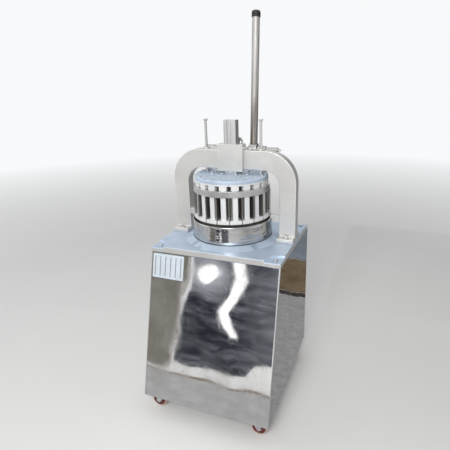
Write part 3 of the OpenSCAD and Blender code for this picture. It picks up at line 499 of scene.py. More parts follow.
def turned_bronze():
    material, tree, where = finish("turned_bronze")
    rings = use(tree, "fine_lines", stretched(tree, where, (1.0, 0.05, 0.05)), 800.0)["Lines"]
    return dress(
        material, Metallic=1.0, Base_Color=tint(tree, rings, (0.46, 0.31, 0.15), (0.68, 0.50, 0.28)),
        Roughness=level(tree, rings, 0.26, 0.4), Normal=bump(tree, rings, 0.00003, 0.5))


FINISH["dark_steel"] = oiled_steel()
FINISH["zinc_steel"] = zinc_plate()
FINISH["bronze"] = turned_bronze()
OWN_FINISH.update(corner_screws=FINISH["zinc_steel"], presser_screws=FINISH["zinc_steel"])

# %% [markdown]
# The plastics: a cutting board scored by knives and painted dark as painted shade for the deep gap under the
# head, a black ribbed cap, dark red wheels, darker still as painted shade from under the cabinet, and their tan
# rubber tyres. Scores are sunk into the board by a bump with a negative distance, and the others get their detail
# from moulding grain and patches.

# %% Plastics
def scored_board_in_painted_shade():
    material, tree, where = finish("scored_board_in_painted_shade")
    across = stretched(tree, where, (1.0, 0.08, 1.0), (0, 0, 0.6))
    scores = use(tree, "fine_lines", across, 260.0)["Scratches"]
    marks = use(tree, "hand_marks", where, 18.0)["Marks"]
    # The dark brownish grey is painted shade for the deep gap between the head and the pan, with patches from
    # marks.
    return dress(
        material, Base_Color=tint(tree, marks, (0.44, 0.42, 0.36), (0.28, 0.26, 0.21)),
        Roughness=level(tree, scores, 0.42, 0.6), Normal=bump(tree, scores, -0.0002, 0.6))


def moulded_black():
    material, tree, where = finish("moulded_black")
    grain = use(tree, "cast_grain", where, 1500.0)
    worn = use(tree, "edge_wear", where, 200.0)["Worn"]
    return dress(
        material, Base_Color=tint(tree, worn, (0.012, 0.012, 0.013), (0.05, 0.05, 0.05)),
        Roughness=level(tree, grain["Patches"], 0.36, 0.55), Normal=bump(tree, grain["Height"], 0.00006, 0.6))


def moulded_red():
    material, tree, where = finish("moulded_red")
    grain = use(tree, "cast_grain", where, 1200.0)["Height"]
    marks = use(tree, "hand_marks", where, 40.0)["Marks"]
    # The dark red is the wheel's own colour, darkened further as painted shade for the shade under the cabinet.
    return dress(
        material, Base_Color=tint(tree, marks, (0.12, 0.010, 0.011), (0.08, 0.017, 0.016)),
        Roughness=level(tree, marks, 0.28, 0.5), Normal=bump(tree, grain, 0.00004, 0.5))


def tan_tyre():
    material, tree, where = finish("tan_tyre")
    grain = use(tree, "cast_grain", where, 900.0)
    patches = grain["Patches"]
    return dress(
        material, IOR=1.48, Base_Color=tint(tree, patches, (0.40, 0.29, 0.23), (0.56, 0.43, 0.35), 0.3, 0.7),
        Roughness=level(tree, patches, 0.2, 0.38), Normal=bump(tree, grain["Height"], 0.00003, 0.4))


FINISH["board_plastic"] = scored_board_in_painted_shade()
FINISH["cap_plastic"] = moulded_black()
FINISH["wheel_plastic"] = moulded_red()
TYRE = tan_tyre()

# %% [markdown]
# The small plate at the cabinet's upper left is pale enamel, fired to a gloss, with plain grey rules
# printed on it. A thin coat over a dull base gives that depth better than a low roughness alone.

# %% Enamel plate and its rules
def pale_enamel():
    material, tree, where = finish("pale_enamel")
    marks = use(tree, "hand_marks", where, 24.0)["Marks"]
    return dress(
        material, Coat_Weight=0.3, Base_Color=tint(tree, marks, (0.62, 0.70, 0.79), (0.54, 0.60, 0.66)),
        Roughness=level(tree, marks, 0.28, 0.45))


def grey_rule():
    material, tree, where = finish("grey_rule")
    grain = use(tree, "cast_grain", where, 1400.0)["Height"]
    return dress(
        material, Base_Color=tint(tree, grain, (0.20, 0.20, 0.21), (0.36, 0.36, 0.37), 0.3, 0.7),
        Roughness=level(tree, grain, 0.45, 0.6))


ENAMEL = pale_enamel()
RULE = grey_rule()

# %% [markdown]
# Each solid first gets its material. Most are then replaced by a copy with softened edges, but those that
# hardly show stay as they are.

# %% Finish on every solid
def finish_of(name):
    return OWN_FINISH.get(name, FINISH[slot_of[name]])


for name, solid in nodes.items():
    solid.data.materials.clear()
    solid.data.materials.append(finish_of(name))
print("finished", len(nodes), "solids")

# %% [markdown]
# A new piece is a bmesh that becomes an object, rides on the body that moves it, and hides the solids it
# stands for. Smooth shading with sharp edges above an angle keeps rounds round and flats flat, and a
# weighted normal modifier lets the large flat faces win where a bevel meets them.

# %% Making a piece
def object_from(name, bm, materials):
    """Turns a bmesh into an object in the scene."""
    mesh = bpy.data.meshes.new(name)
    bm.to_mesh(mesh)
    bm.free()
    for material in materials:
        mesh.materials.append(material)
    made = bpy.data.objects.new(name, mesh)
    scene.collection.objects.link(made)
    return made


def piece(name, bm, body, materials, stands_for=(), sharp=38):
    made = object_from(name, bm, materials)
    made.data.shade_smooth()
    made.data.set_sharp_from_angle(angle=radians(sharp))
    made.modifiers.new("flats", "WEIGHTED_NORMAL").keep_sharp = True
    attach(made, body)
    if stands_for:
        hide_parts(*stands_for)


def stand_in(solid, name, bm):
    """A piece in place of one solid, with that solid's body and finish."""
    piece(name, bm, body_of[solid], [finish_of(solid)], [solid])


# %% [markdown]
# No edge on a real machine is razor sharp, and the thin highlight along a corner is what tells the eye that
# a surface is metal. A copy of a solid is merged, its flat triangles are joined, and its sharp edges are
# bevelled with the bmesh operator. The operator hands back the new faces, so they can carry the wear
# attribute.

# %% Softened copies
JOIN = 0.01 * MM
SHARP = radians(28)
FLAT = radians(0.6)


def clean_copy(name):
    bm = bmesh.new()
    bm.from_mesh(nodes[name].data)
    bmesh.ops.remove_doubles(bm, verts=bm.verts[:], dist=JOIN)
    bmesh.ops.dissolve_limit(bm, angle_limit=FLAT, verts=bm.verts[:], edges=bm.edges[:])
    return bm


def bevel(bm, edges, width, segments):
    """Rounds some edges and returns the new faces."""
    made = bmesh.ops.bevel(
        bm, geom=edges, offset=width, offset_type="OFFSET", segments=segments, profile=0.5, affect="EDGES",
        material=-1)
    return made["faces"]


def soften(bm, width, segments=2):
    """Bevels the sharp edges and marks the new faces as places where metal wears."""
    wear = bm.faces.layers.float.new("wear")
    sharp = [e for e in bm.edges if len(e.link_faces) == 2 and e.calc_face_angle(0) > SHARP]
    for face in bevel(bm, sharp, width, segments):
        face[wear] = 1.0
    return bm


EDGE_MM = {
    "back_panel": 0.3, "base_plate": 0.4, "corner_angles": 0.4, "arch_frame": 2.2, "foot_bolts": 0.7,
    "guide_block": 1.2, "guide_block_screws": 0.6, "bearing_left": 0.9, "bearing_right": 0.9,
    "bearing_bolts": 0.5, "rod_bushes": 0.6, "pan_lugs": 1.0, "pan_lug_screws": 0.4, "cutting_board": 0.8,
    "rack": 0.5, "knife_carrier": 0.8, "press_plate": 0.6, "outer_pressers": 0.6, "middle_pressers": 0.6,
    "inner_pressers": 0.6, "guide_rods": 0.9, "rod_nuts": 0.6, "pinion": 0.3, "pinion_shaft": 0.6,
    "lever_hub": 1.4, "lever_tube": 0.2, "caster_plates": 0.4, "caster_screws": 0.5}
CASTERS = range(1, 5)
for number in CASTERS:
    EDGE_MM[f"caster_fork_{number}"] = 0.4
    EDGE_MM[f"caster_axle_{number}"] = 0.4
for name, width in EDGE_MM.items():
    stand_in(name, name + "_soft", soften(clean_copy(name), width * MM))
print("softened", len(EDGE_MM), "solids")

# %% [markdown]
# The top plate is faced on top and its rim is sawn and filed. The top faces carry the painted sky of the satin,
# while the rim takes the warmer grey of the castings, which also paints in the warm floor that its upright faces
# reflect. One mesh can carry both: the faces that stand upright along the four edges take the second material.

# %% Top plate: painted sky on top, filed rim painted warm
DECK_EDGE = 1.6 * MM
UPRIGHT = 0.3
RIM_DEPTH = 0.5 * MM
deck_low, deck_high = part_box("top_plate")
deck = soften(clean_copy("top_plate"), DECK_EDGE)
rim_faces = 0
for face in deck.faces:
    middle = face.calc_center_median()
    depth = min(abs(middle[i] - side[i]) for side in (deck_low, deck_high) for i in (0, 1))
    if abs(face.normal.z) < UPRIGHT and depth < RIM_DEPTH:
        face.material_index = 1
        rim_faces += 1
# The rim's warm grey is partly filed metal and partly a painted reflection of the floor, set against the painted
# sky on top.
deck_finishes = [FINISH["plate_alloy"], FINISH["arch_alloy"]]
piece("top_plate_soft", deck, "frame", deck_finishes, ["top_plate"], sharp=15)
print("top plate with", rim_faces, "rim faces")

# %% [markdown]
# Screw heads are cheap and lie flat in a render unless they have a socket. For these, the top face of each
# head is inset, the inner face is extruded by itself and pushed down the shank, which leaves a clean
# recess.

# %% Screws with sockets
FACES_UP = 0.99
LEVEL_WITH = 0.02 * MM


def socket_screws(name, edge, rim, depth):
    bm = soften(clean_copy(name), edge, 3)
    top = max(v.co.z for v in bm.verts)
    heads = [f for f in bm.faces if f.normal.z > FACES_UP and f.calc_center_median().z > top - LEVEL_WITH]
    bmesh.ops.inset_individual(bm, faces=heads, thickness=rim, depth=0.0)
    for face in bmesh.ops.extrude_discrete_faces(bm, faces=heads)["faces"]:
        bmesh.ops.translate(bm, verts=face.verts[:], vec=face.normal * -depth)
    stand_in(name, name + "_socket", bm)
    print(name, len(heads), "sockets")


socket_screws("presser_screws", edge=0.7 * MM, rim=1.4 * MM, depth=1.6 * MM)
socket_screws("corner_screws", edge=1.2 * MM, rim=2.0 * MM, depth=2.2 * MM)

# %% [markdown]
# Washers, pan, cap, oil cup and wheels are all turned shapes. A profile of a few points and one full spin
# make each of them, and the spin's last row is merged with its first. The spin may leave the faces inside
# out, so the normals are recalculated before the shape goes to its place.

# %% Turning shapes on an axis
def turned(profile, place, steps=64, closed=False):
    """Spins (radius, height) points about Z and puts the shape at a place, a matrix."""
    bm = bmesh.new()
    spots = [bm.verts.new((r, 0, h)) for r, h in profile]
    lines = [bm.edges.new(pair) for pair in zip(spots, spots[1:])]
    if closed:
        lines.append(bm.edges.new((spots[-1], spots[0])))
    bmesh.ops.spin(
        bm, geom=spots + lines, cent=(0, 0, 0), axis=(0, 0, 1), angle=tau, steps=steps, use_merge=True)
    bmesh.ops.remove_doubles(bm, verts=bm.verts[:], dist=JOIN)
    bmesh.ops.recalc_face_normals(bm, faces=bm.faces[:])
    bmesh.ops.transform(bm, matrix=place, verts=bm.verts[:])
    return bm


def join(bm, part):
    """Adds one bmesh to another through a spare mesh."""
    spare = bpy.data.meshes.new("spare")
    part.to_mesh(spare)
    part.free()
    bm.from_mesh(spare)
    bpy.data.meshes.remove(spare)


print("lathe ready")

# %% [markdown]
# Hexagon bolts hold the arch's feet. Softening gave them a chamfer, and a turned washer under each head
# adds the ring of shadow that seats it. The bolts share one mesh of separate shells, so walking from vertex
# to vertex finds each bolt and its middle.

# %% Washers under the foot bolts
HEAD_H = 5.5 * MM
WASHER_BORE_R = 4.5 * MM
WASHER_R = 9.5 * MM
WASHER_T = 1.6 * MM
WASHER_EDGE = 0.4 * MM


def shell_middles(name):
    bm = clean_copy(name)
    left = set(bm.verts)
    middles = []
    while left:
        shell = [left.pop()]
        for vert in shell:
            joined = [edge.other_vert(vert) for edge in vert.link_edges]
            found = [other for other in joined if other in left]
            left.difference_update(found)
            shell += found
        low, high = [Vector([pick(v.co[i] for v in shell) for i in range(3)]) for pick in (min, max)]
        middles.append(tuple((low + high) / 2))
    bm.free()
    return sorted(middles)


foot_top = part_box("foot_bolts")[1].z - HEAD_H
washer_line = [(WASHER_BORE_R, 0), (WASHER_R, 0), (WASHER_R, WASHER_T - WASHER_EDGE),
               (WASHER_R - WASHER_EDGE, WASHER_T), (WASHER_BORE_R, WASHER_T)]
bolt_middles = shell_middles("foot_bolts")
washers = bmesh.new()
for x, y, z in bolt_middles:
    join(washers, turned(washer_line, Matrix.Translation((x, y, foot_top)), 32, True))
piece("foot_washers", washers, "frame", [FINISH["bright_steel"]])
print(len(bolt_middles), "washers at", round(foot_top / MM, 1), "mm")

# %% [markdown]
# The cabinet's front and sides are one sheet folded round two long bends. Three flat plates would leave a
# gap at the corner, while a fold catches one bright line from top to bottom. Four points give the outline
# from above, the top is moved back by the rake, the two front edges are bevelled into bends, and the sheet
# then gets its thickness and a hem turned in along its foot.

# %% Folded cabinet cover
BEND_R = 4.5 * MM
SHEET_T = 1.5 * MM
HEM = 9 * MM
front_low, front_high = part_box("front_panel")
side_low, side_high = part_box("side_panel_left")
half_w = -side_low.x
plan = [(-half_w, side_high.y), (-half_w, None), (half_w, None), (half_w, side_high.y)]
cover = bmesh.new()
rows = []
for z, front_y in ((front_low.z, front_low.y), (front_high.z, deck_low.y)):
    rows.append([cover.verts.new((x, front_y if y is None else y, z)) for x, y in plan])
for i in range(3):
    cover.faces.new((rows[0][i], rows[0][i + 1], rows[1][i + 1], rows[1][i]))
bevel(cover, [e for e in cover.edges if len(e.link_faces) == 2], BEND_R, 6)
foot = [e for e in cover.edges if e.is_boundary and all(v.co.z < front_low.z + JOIN for v in e.verts)]
hem = bmesh.ops.extrude_edge_only(cover, edges=foot)["geom"]
for vert in [g for g in hem if isinstance(g, bmesh.types.BMVert)]:
    vert.co.x *= (half_w - HEM) / half_w
    vert.co.y = max(vert.co.y, front_low.y + HEM)
bmesh.ops.recalc_face_normals(cover, faces=cover.faces[:])
if sum(f.normal.y for f in cover.faces if abs(f.normal.y) > 0.9) > 0:
    bmesh.ops.reverse_faces(cover, faces=cover.faces[:])
bmesh.ops.solidify(cover, geom=cover.faces[:], thickness=SHEET_T)
cover_reach = [min(v.co[i] for v in cover.verts) for i in range(3)]
piece("cabinet_cover", cover, "frame", [FINISH["panel_steel"]],
      ["front_panel", "side_panel_left", "side_panel_right"])
print("cover reaches", [round(v / MM, 2) for v in cover_reach], "mm")

# %% [markdown]
# The pan is spun from sheet over a wooden form: a flat floor, a small radius up into the wall, a bead
# rolled outwards at the rim and a turned step near the foot. All of that is one profile spun round the
# head's axis, with the bead as an arc.

# %% Spun pan
WALL_IN = 2 * MM
FILLET_W = 5 * MM
FILLET_H = 4 * MM
BEAD_R = 2.2 * MM
BEAD_FROM = 3.5 * MM
STEP_H = 18 * MM
STEP_OUT = 0.7 * MM
STEP_EDGE = 1.2 * MM
FOOT_IN = 0.8 * MM
pan_low, pan_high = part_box("dough_pan")
board_low, board_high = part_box("cutting_board")
head_place = Matrix.Translation(((pan_low.x + pan_high.x) / 2, (pan_low.y + pan_high.y) / 2, 0))
floor_z = board_low.z
wall_r = (board_high.x - board_low.x) / 2
pan_r = (pan_high.x - pan_low.x) / 2
wall_out = pan_r - WALL_IN
foot_r = wall_out + STEP_OUT
step_z = pan_low.z + STEP_H
inside = [(0, floor_z), (wall_r - FILLET_W, floor_z), (wall_r - 0.3 * FILLET_W, floor_z + 0.3 * FILLET_H),
          (wall_r, floor_z + FILLET_H), (wall_r, pan_high.z - BEAD_FROM)]
bead = [(pan_r - BEAD_R + BEAD_R * cos(a), pan_high.z - BEAD_R + BEAD_R * sin(a))
        for a in (radians(d) for d in range(170, -91, -20))]
outside = [(wall_out, pan_high.z - 2 * BEAD_R - STEP_EDGE), (wall_out, step_z + STEP_EDGE), (foot_r, step_z),
           (foot_r, pan_low.z + STEP_EDGE), (wall_out - FOOT_IN, pan_low.z), (0, pan_low.z)]
stand_in("dough_pan", "spun_pan", turned(inside + bead + outside, head_place, 128))
print("pan rim at", round(pan_high.z / MM, 1), "mm, radius", round(pan_r / MM, 1))

# %% [markdown]
# A thin dark ring stands round the pan's foot as a painted shadow, a dark thing put in the shadow line between
# the pan and the plate. Only its lip shows, as one dark line that sets the bright wall off from the plate.

# %% Dark ring round the pan's foot, a painted shadow
LIP_W = 1.1 * MM
LIP_H = 1.8 * MM
LIP_EDGE = 0.5 * MM
UNDER_PAN = 1 * MM
lip_r = foot_r + LIP_W
lip_top = pan_low.z + LIP_H
shadow_ring_line = [(wall_out - UNDER_PAN, pan_low.z), (lip_r, pan_low.z), (lip_r, lip_top - LIP_EDGE),
            (lip_r - LIP_EDGE, lip_top), (wall_out - UNDER_PAN, lip_top)]
# The black ring is painted shadow along the pan's foot.
piece("pan_foot_shadow_ring", turned(shadow_ring_line, head_place, 128, True), "frame", [FINISH["cap_plastic"]])
print("ring round the pan's foot, radius", round(lip_r / MM, 1), "mm at", round(pan_low.z / MM, 1), "mm")

# %% [markdown]
# The black cap on the lever is a push-on moulding with shallow ribs for grip. The lever leans back a
# little, so the cap is turned upright and then laid along the lever's own axis, through the pivot. The ribs
# are a short run of points that a loop repeats up the profile.

# %% Ribbed lever cap
RIBS = 4
CROWN = 6 * MM
GROOVE = 0.8 * MM
LAND = 0.1 * MM
INTO_TUBE = 0.5 * MM
swing = next(j for j in frame["joints"] if j["name"] == "lever_swing")
pivot = Vector(swing["pos_m"])
tube_low, tube_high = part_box("lever_tube")
cap_low, cap_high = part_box("lever_cap")
lever_x = (tube_low.x + tube_high.x) / 2
lever_place = Matrix.Translation((lever_x, pivot.y, pivot.z)) @ Matrix.Rotation(LEAN, 4, "X")
along = [(lever_place.inverted() @ v.co).z for v in nodes["lever_cap"].data.vertices]
cap_foot, cap_top = min(along), max(along)
cap_r = (cap_high.x - cap_low.x) / 2
tube_r = (tube_high.x - tube_low.x) / 2
rib_step = (cap_top - cap_foot - CROWN) / RIBS
cap_line = [(tube_r - INTO_TUBE, cap_foot), (cap_r - GROOVE, cap_foot)]
for rib in range(RIBS):
    for inset, share in ((GROOVE, 0.2), (LAND, 0.4), (LAND, 0.75), (GROOVE, 0.95)):
        cap_line.append((cap_r - inset, cap_foot + (rib + share) * rib_step))
for inset, below in ((0.6, 4), (2.2, 1.6), (5, 0.2)):
    cap_line.append((cap_r - inset * MM, cap_top - below * MM))
cap_line.append((0, cap_top))
stand_in("lever_cap", "ribbed_cap", turned(cap_line, lever_place, 48))
print("cap", round((cap_top - cap_foot) / MM, 1), "mm long with", RIBS, "ribs")

# %% [markdown]
# The oil cup is a turned nub: a thin neck, a wider cup, and a spring ball in a fine groove. The profile
# gives its radii as shares of the cup's, and its heights from the foot or the top. The shaft ends in a
# grease nipple and a bolt, which only need softer edges.

# %% Oil cup and shaft ends
NECK_H = 6 * MM
END_EDGE = 0.4 * MM
cup_low, cup_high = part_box("oil_cup")
cup_r = (cup_high.x - cup_low.x) / 2
neck_top = cup_low.z + NECK_H
cup_line = [(0.5 * cup_r, cup_low.z), (0.5 * cup_r, neck_top), (cup_r, neck_top)]
for share, below in ((1.0, 4), (0.8, 2), (0.55, 1), (0.5, 1.4), (0.3, 0.6), (0, 0)):
    cup_line.append((share * cup_r, cup_high.z - below * MM))
cup_place = Matrix.Translation(((cup_low.x + cup_high.x) / 2, (cup_low.y + cup_high.y) / 2, 0))
stand_in("oil_cup", "oil_nub", turned(cup_line, cup_place, 32))
stand_in("shaft_end_bolts", "shaft_ends", soften(clean_copy("shaft_end_bolts"), END_EDGE))
print("oil cup", round(2 * cup_r / MM, 1), "mm wide")

# %% [markdown]
# The casters have dark red wheels with a tan tyre. Each is two profiles spun on the axle, so that the tyre
# is its own ring with its own material and a fine groove shows between them. A wheel is alike on both
# sides, so half a profile is written, from the hub outwards, and then mirrored.

# %% Caster wheels
BORE_R = 4.1 * MM
HUB_EDGE = 0.4 * MM
# Shares of the wheel's radius, each with the mm that the point lies in from the wheel's side
HUB = [(0.36, 0), (0.42, 2.5), (0.66, 2.5), (0.72, 0.6), (0.8, 0.6)]
TREAD = [(0.79, 1.2), (0.86, 0.4), (0.93, 1.2), (1.0, 4.5)]


def both_sides(half):
    return [(radius, -height) for radius, height in half] + half[::-1]


for number in CASTERS:
    name = f"caster_wheel_{number}"
    low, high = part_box(name)
    wheel_r, half_t = (high.z - low.z) / 2, (high.y - low.y) / 2
    hub_half, tyre_half = [
        [(share * wheel_r, half_t - inset * MM) for share, inset in points] for points in (HUB, TREAD)]
    place = Matrix.Translation((low + high) / 2) @ Matrix.Rotation(pi / 2, 4, "X")
    hub = turned(both_sides([(BORE_R, half_t)] + hub_half), place, 48, True)
    stand_in(name, f"wheel_{number}_hub", soften(hub, HUB_EDGE))
    tyre = turned(both_sides(tyre_half), place, 48, True)
    piece(f"wheel_{number}_tyre", tyre, f"wheel_{number}", [TYRE])
print(len(CASTERS), "wheels of", round(2 * wheel_r / MM), "mm")

# %% [markdown]
# The small enamel plate lies on the raked panel at its upper left. It is a thin box, bevelled at its
# corners and turned by the rake, with six plain rules on it. A matrix made from the panel's slope puts both
# in place.

# %% Enamel plate
PLATE_W = 102 * MM
PLATE_H = 72 * MM
PLATE_T = 0.8 * MM
PLATE_LEFT = -191 * MM
PLATE_TOP = 484 * MM
PLATE_CORNER = 2 * MM
PLATE_EDGE = 0.2 * MM
RULES = 6
RULE_W = 3.2 * MM
RULE_T = 0.15 * MM
RULE_SUNK = 0.05 * MM
RULE_MARGIN = 7 * MM
slope = Vector((0, deck_low.y - front_low.y, front_high.z - front_low.z)).normalized()
across_panel = Vector((1, 0, 0))
panel_turn = Matrix((across_panel, slope, across_panel.cross(slope))).transposed().to_4x4()
top_spot = Vector((0, front_low.y, front_low.z)) + slope * ((PLATE_TOP - front_low.z) / slope.z)
panel_place = Matrix.Translation(top_spot) @ panel_turn


def flat_box(bm, left, bottom, width, height, low, thick):
    """Adds a thin box in the panel's own plane: across, up along the slope, and out of it."""
    middle = Matrix.Translation((left + width / 2, bottom + height / 2, low + thick / 2))
    bmesh.ops.create_cube(bm, size=1.0, matrix=middle @ Matrix.Diagonal((width, height, thick, 1)))


plate, rules = bmesh.new(), bmesh.new()
flat_box(plate, PLATE_LEFT, -PLATE_H, PLATE_W, PLATE_H, 0.0, PLATE_T)
corners = [e for e in plate.edges if abs(e.verts[0].co.z - e.verts[1].co.z) > PLATE_T / 2]
bevel(plate, corners, PLATE_CORNER, 4)
soften(plate, PLATE_EDGE, 1)
rule_h = PLATE_H - 2 * RULE_MARGIN
for i in range(RULES):
    left = PLATE_LEFT + PLATE_W * (i + 0.5) / RULES - RULE_W / 2
    flat_box(rules, left, RULE_MARGIN - PLATE_H, RULE_W, rule_h, PLATE_T - RULE_SUNK, RULE_T)
for name, bm, paint in (("enamel_plate", plate, ENAMEL), ("plate_rules", rules, RULE)):
    bmesh.ops.transform(bm, matrix=panel_place, verts=bm.verts[:])
    piece(name, bm, "frame", [paint])
print("enamel plate", round(PLATE_W / MM), "by", round(PLATE_H / MM), "mm with", RULES, "rules")

# %% [markdown]
# The studio: a wide pale floor that fades to the white of the world, so that no horizon cuts the picture,
# and the world as fill. Camera, glossy and transmission rays see white, while the light that the world
# sheds stays plain.

# %% Floor and world
FILL = 0.5
PAPER = (0.94, 0.95, 0.96, 1)
FLOOR_R = 14.0
FADE_FROM = 1.6
FADE_TO = 5.0


def rays_that_show(tree):
    path = put(tree, "LightPath").outputs
    shown = calc(tree, "ADD", path["Is Camera Ray"], path["Is Glossy Ray"])
    return calc(tree, "MINIMUM", calc(tree, "ADD", shown, path["Is Transmission Ray"]), 1.0)


def mix_shaders(tree, share, first, second, output):
    both = put(tree, "MixShader", Fac=share)
    tree.links.new(first.outputs[0], both.inputs[1])
    tree.links.new(second.outputs[0], both.inputs[2])
    tree.links.new(both.outputs[0], output.inputs["Surface"])


scene.world = bpy.data.worlds.new("studio")
scene.world.use_nodes = True
sky = scene.world.node_tree
sky.nodes.clear()
light = put(sky, "Background", Color=(1, 1, 1, 1), Strength=FILL)
shown = put(sky, "Background", Color=PAPER, Strength=1.0)
mix_shaders(sky, rays_that_show(sky), light, shown, put(sky, "OutputWorld"))

paint, tree, where = finish("pale_floor")
speck = noise(tree, where, 3.0, 4.0, 0.6)
dress(paint, Base_Color=tint(tree, speck, (0.78, 0.78, 0.775), (0.82, 0.82, 0.815)), Roughness=0.75)
far = put(tree, "VectorMath", {"operation": "LENGTH"}, Vector=where).outputs["Value"]
fade = calc(tree, "MULTIPLY", level(tree, far, 0.0, 1.0, FADE_FROM, FADE_TO), rays_that_show(tree))
haze = put(tree, "Emission", Color=PAPER, Strength=1.0)
mix_shaders(tree, fade, tree.nodes["Principled BSDF"], haze, tree.nodes["Material Output"])
disc = bmesh.new()
bmesh.ops.create_circle(disc, cap_ends=True, segments=64, radius=FLOOR_R)
object_from("floor", disc, [paint])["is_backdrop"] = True
print("floor and world, fill", FILL)

# %% [markdown]
# Two large round area lamps light the machine: a warm one ahead of it and a weaker cool one at the left. A
# sun lamp would do it with one setting, but a large area near the object gives the soft edge of a studio's
# shadow.

# %% Lamps
def lamp(name, place, aim, size, watts, colour):
    data = bpy.data.lights.new(name, "AREA")
    data.shape = "DISK"
    data.size = size
    data.energy = watts
    data.color = colour
    made = bpy.data.objects.new(name, data)
    made.location = place
    made.rotation_euler = (Vector(aim) - Vector(place)).to_track_quat("-Z", "Y").to_euler()
    scene.collection.objects.link(made)
    print("lamp", name, "of", watts, "W")


lamp("key", place=(0.3, -2.0, 1.7), aim=(0, 0, 0.6), size=1.2, watts=34, colour=(1.0, 0.985, 0.96))
lamp("fill", place=(-2.3, -0.6, 1.9), aim=(0, 0, 0.5), size=1.4, watts=9, colour=(0.95, 0.97, 1.0))

# %% [markdown]
# A mirror shows what stands around it, so a studio hangs cards for it to mirror. The cards only meet glossy
# rays: they cast no shadow, and the camera never sees them. A card is a flat outline with an Emission
# shader whose colour runs from a low to a high shade, by a mask that each card brings along.

# %% Cards for the polished sheet
UNSEEN_BY = ("camera", "diffuse", "shadow", "transmission", "volume_scatter")


def card(name, points, low, high=None, mask=None):
    material, tree, where = finish(name)
    colour = tint(tree, mask(tree, where), low, high) if mask else (*low, 1)
    glow = put(tree, "Emission", Color=colour, Strength=1.0)
    tree.links.new(glow.outputs[0], tree.nodes["Material Output"].inputs["Surface"])
    bm = bmesh.new()
    bm.faces.new([bm.verts.new(point) for point in points])
    made = object_from(name, bm, [material])
    for ray in UNSEEN_BY:
        setattr(made, "visible_" + ray, False)
    made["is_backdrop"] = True


def mottle(scale):
    return lambda tree, where: level(tree, noise(tree, where, scale, 6.0, 0.6), 0.0, 1.0, 0.35, 0.65)


print("cards are seen by glossy rays only")

# %% [markdown]
# Ahead of the cabinet hangs a dark card with a warm one at its left and two pale lines between them. A
# round soft light with a halo hangs before it, and a bent strip light, which is a run of points with half
# its width at each. The halo is a distance from the round light's middle, added to streaks of stretched
# noise.

# %% Cards ahead of the cabinet
CARD_Y = -0.80
CARD_TOP = 0.60
BEFORE = 0.004
GLOW_X, GLOW_Z = -0.306, 0.446
GLOW_W, GLOW_H = 0.056, 0.050
GLOW_POINTS = 24
LINE_LEAN = 0.018
WHITE = (1.6, 1.6, 1.6)


def hung(outline, before=0.0):
    return [(x, CARD_Y + before, z) for x, z in outline]


def streaks_and_halo(tree, where):
    streaks = noise(tree, stretched(tree, where, (8.0, 1.0, 46.0), (0, 0.3, 0)), 1.0, 6.0, 0.7)
    apart = put(tree, "VectorMath", {"operation": "DISTANCE"}, Vector=where)
    apart.inputs[1].default_value = (GLOW_X, CARD_Y, GLOW_Z)
    halo = level(tree, apart.outputs["Value"], 0.8, 0.0, 0.05, 0.14)
    paler = level(tree, put(tree, "SeparateXYZ", Vector=where).outputs["X"], 0.0, 0.18, -0.14, 0.02)
    both = calc(tree, "ADD", level(tree, streaks, 0.0, 0.42, 0.44, 0.72), paler)
    return calc(tree, "ADD", both, halo)


dark_outline = [(-0.405, 0.04), (-0.33, 0.03), (-0.07, 0.04), (-0.025, 0.095), (0.14, 0.125),
                (0.14, CARD_TOP), (-0.385, CARD_TOP), (-0.388, 0.41)]
card("dark_card", hung(dark_outline), (0.026, 0.030, 0.043), (0.54, 0.56, 0.61), streaks_and_halo)
warm_outline = [(-0.80, 0.0), (-0.42, 0.0), (-0.40, CARD_TOP), (-0.80, CARD_TOP)]
card("warm_card", hung(warm_outline), (0.22, 0.205, 0.18), (0.33, 0.315, 0.285), mottle(9.0))
for left, width in ((-0.428, 0.004), (-0.411, 0.003)):
    top_left = left + LINE_LEAN
    line = [(left, 0.0), (left + width, 0.0), (top_left + width, CARD_TOP), (top_left, CARD_TOP)]
    card("pale_line", hung(line, BEFORE / 2), (0.85, 0.84, 0.81))
turns = [tau * i / GLOW_POINTS for i in range(GLOW_POINTS)]
round_light = [(GLOW_X + GLOW_W * cos(a), GLOW_Z + GLOW_H * sin(a)) for a in turns]
card("round_light", hung(round_light, BEFORE), WHITE)
bent = [(-0.175, 0.56, 0.032), (-0.140, 0.428, 0.034), (-0.164, 0.366, 0.027), (-0.206, 0.278, 0.026),
        (-0.163, 0.222, 0.030), (-0.134, 0.190, 0.020)]
for (x0, z0, half0), (x1, z1, half1) in zip(bent, bent[1:]):
    strip = [(x0 - half0, z0), (x0 + half0, z0), (x1 + half1, z1), (x1 - half1, z1)]
    card("bent_light", hung(strip, BEFORE), WHITE)
print("cards hung at", CARD_Y, "m")

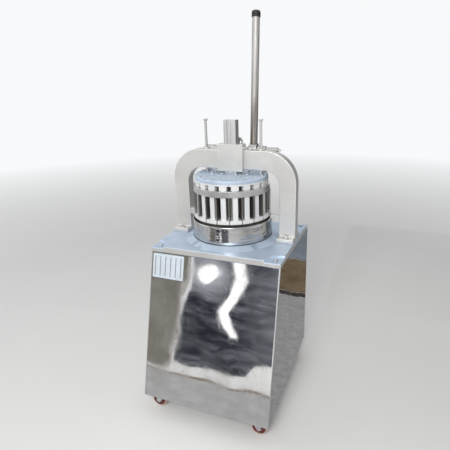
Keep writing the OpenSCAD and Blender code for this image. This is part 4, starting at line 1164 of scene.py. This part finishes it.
# %% [markdown]
# The lower panel and the side mirror the floor. Cards that lie on it give grey ahead and at the right, a
# pale strip at the foot of the dark card, and a brown stretch and a blue-grey one beyond it for the side
# panel.

# %% Cards on the floor
LIFT = 0.002
AHEAD = (-0.9, 0.6)
AT_RIGHT = (0.21, 1.6)


def laid(sides, near, far):
    left, right = sides
    return [(left, near, LIFT), (right, near, LIFT), (right, far, LIFT), (left, far, LIFT)]


def grey(low, high):
    return (low, low, low), (high, high, high)


card("pale_strip", laid(AHEAD, CARD_Y, CARD_Y + 0.055), (0.80, 0.79, 0.78), (0.95, 0.95, 0.95), mottle(6.0))
card("brown_line", laid(AHEAD, CARD_Y + 0.056, CARD_Y + 0.094), (0.30, 0.25, 0.20))
card("grey_ahead", laid((-1.2, 0.9), CARD_Y + 0.096, -0.235), *grey(0.46, 0.56), mottle(14.0))
card("grey_right", laid(AT_RIGHT, -0.234, 0.60), *grey(0.26, 0.34), mottle(45.0))
card("dark_line", laid(AT_RIGHT, 0.602, 0.64), (0.05, 0.045, 0.04))
card("brown_stretch", laid(AT_RIGHT, 0.642, 1.02), (0.12, 0.085, 0.05), (0.20, 0.15, 0.10), mottle(11.0))
card("blue_stretch", laid(AT_RIGHT, 1.022, 1.75), (0.11, 0.135, 0.16), (0.23, 0.26, 0.29), mottle(5.0))
print("floor cards laid")

# %% [markdown]
# Round bright parts need something dark to mirror as well, or they lose their edges against a white room. A
# tall dim card stands far behind on the right: it draws a dark line down the right side of the lever, the
# rods and the rack, and shades the outer side of the arch.

# %% Dim card behind on the right
DIM_Y = 1.75
dim_outline = [(x, DIM_Y, z) for x, z in ((0.25, 0.01), (3.2, 0.01), (3.2, 2.6), (0.25, 2.6))]
card("dim_card", dim_outline, (0.07, 0.075, 0.085), (0.16, 0.165, 0.18), mottle(2.0))
print("dim card at", DIM_Y, "m")

# %% [markdown]
# Last, the box of the dressed machine is written beside the box of the solids. The two have to agree,
# because dressing never makes the machine larger.

# %% Sizes and finish
low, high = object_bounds()
apart = [round(abs(a - b) / MM, 2) for a, b in zip([*low, *high], [*cad_low, *cad_high])]
print("dressed box differs by", apart, "mm")
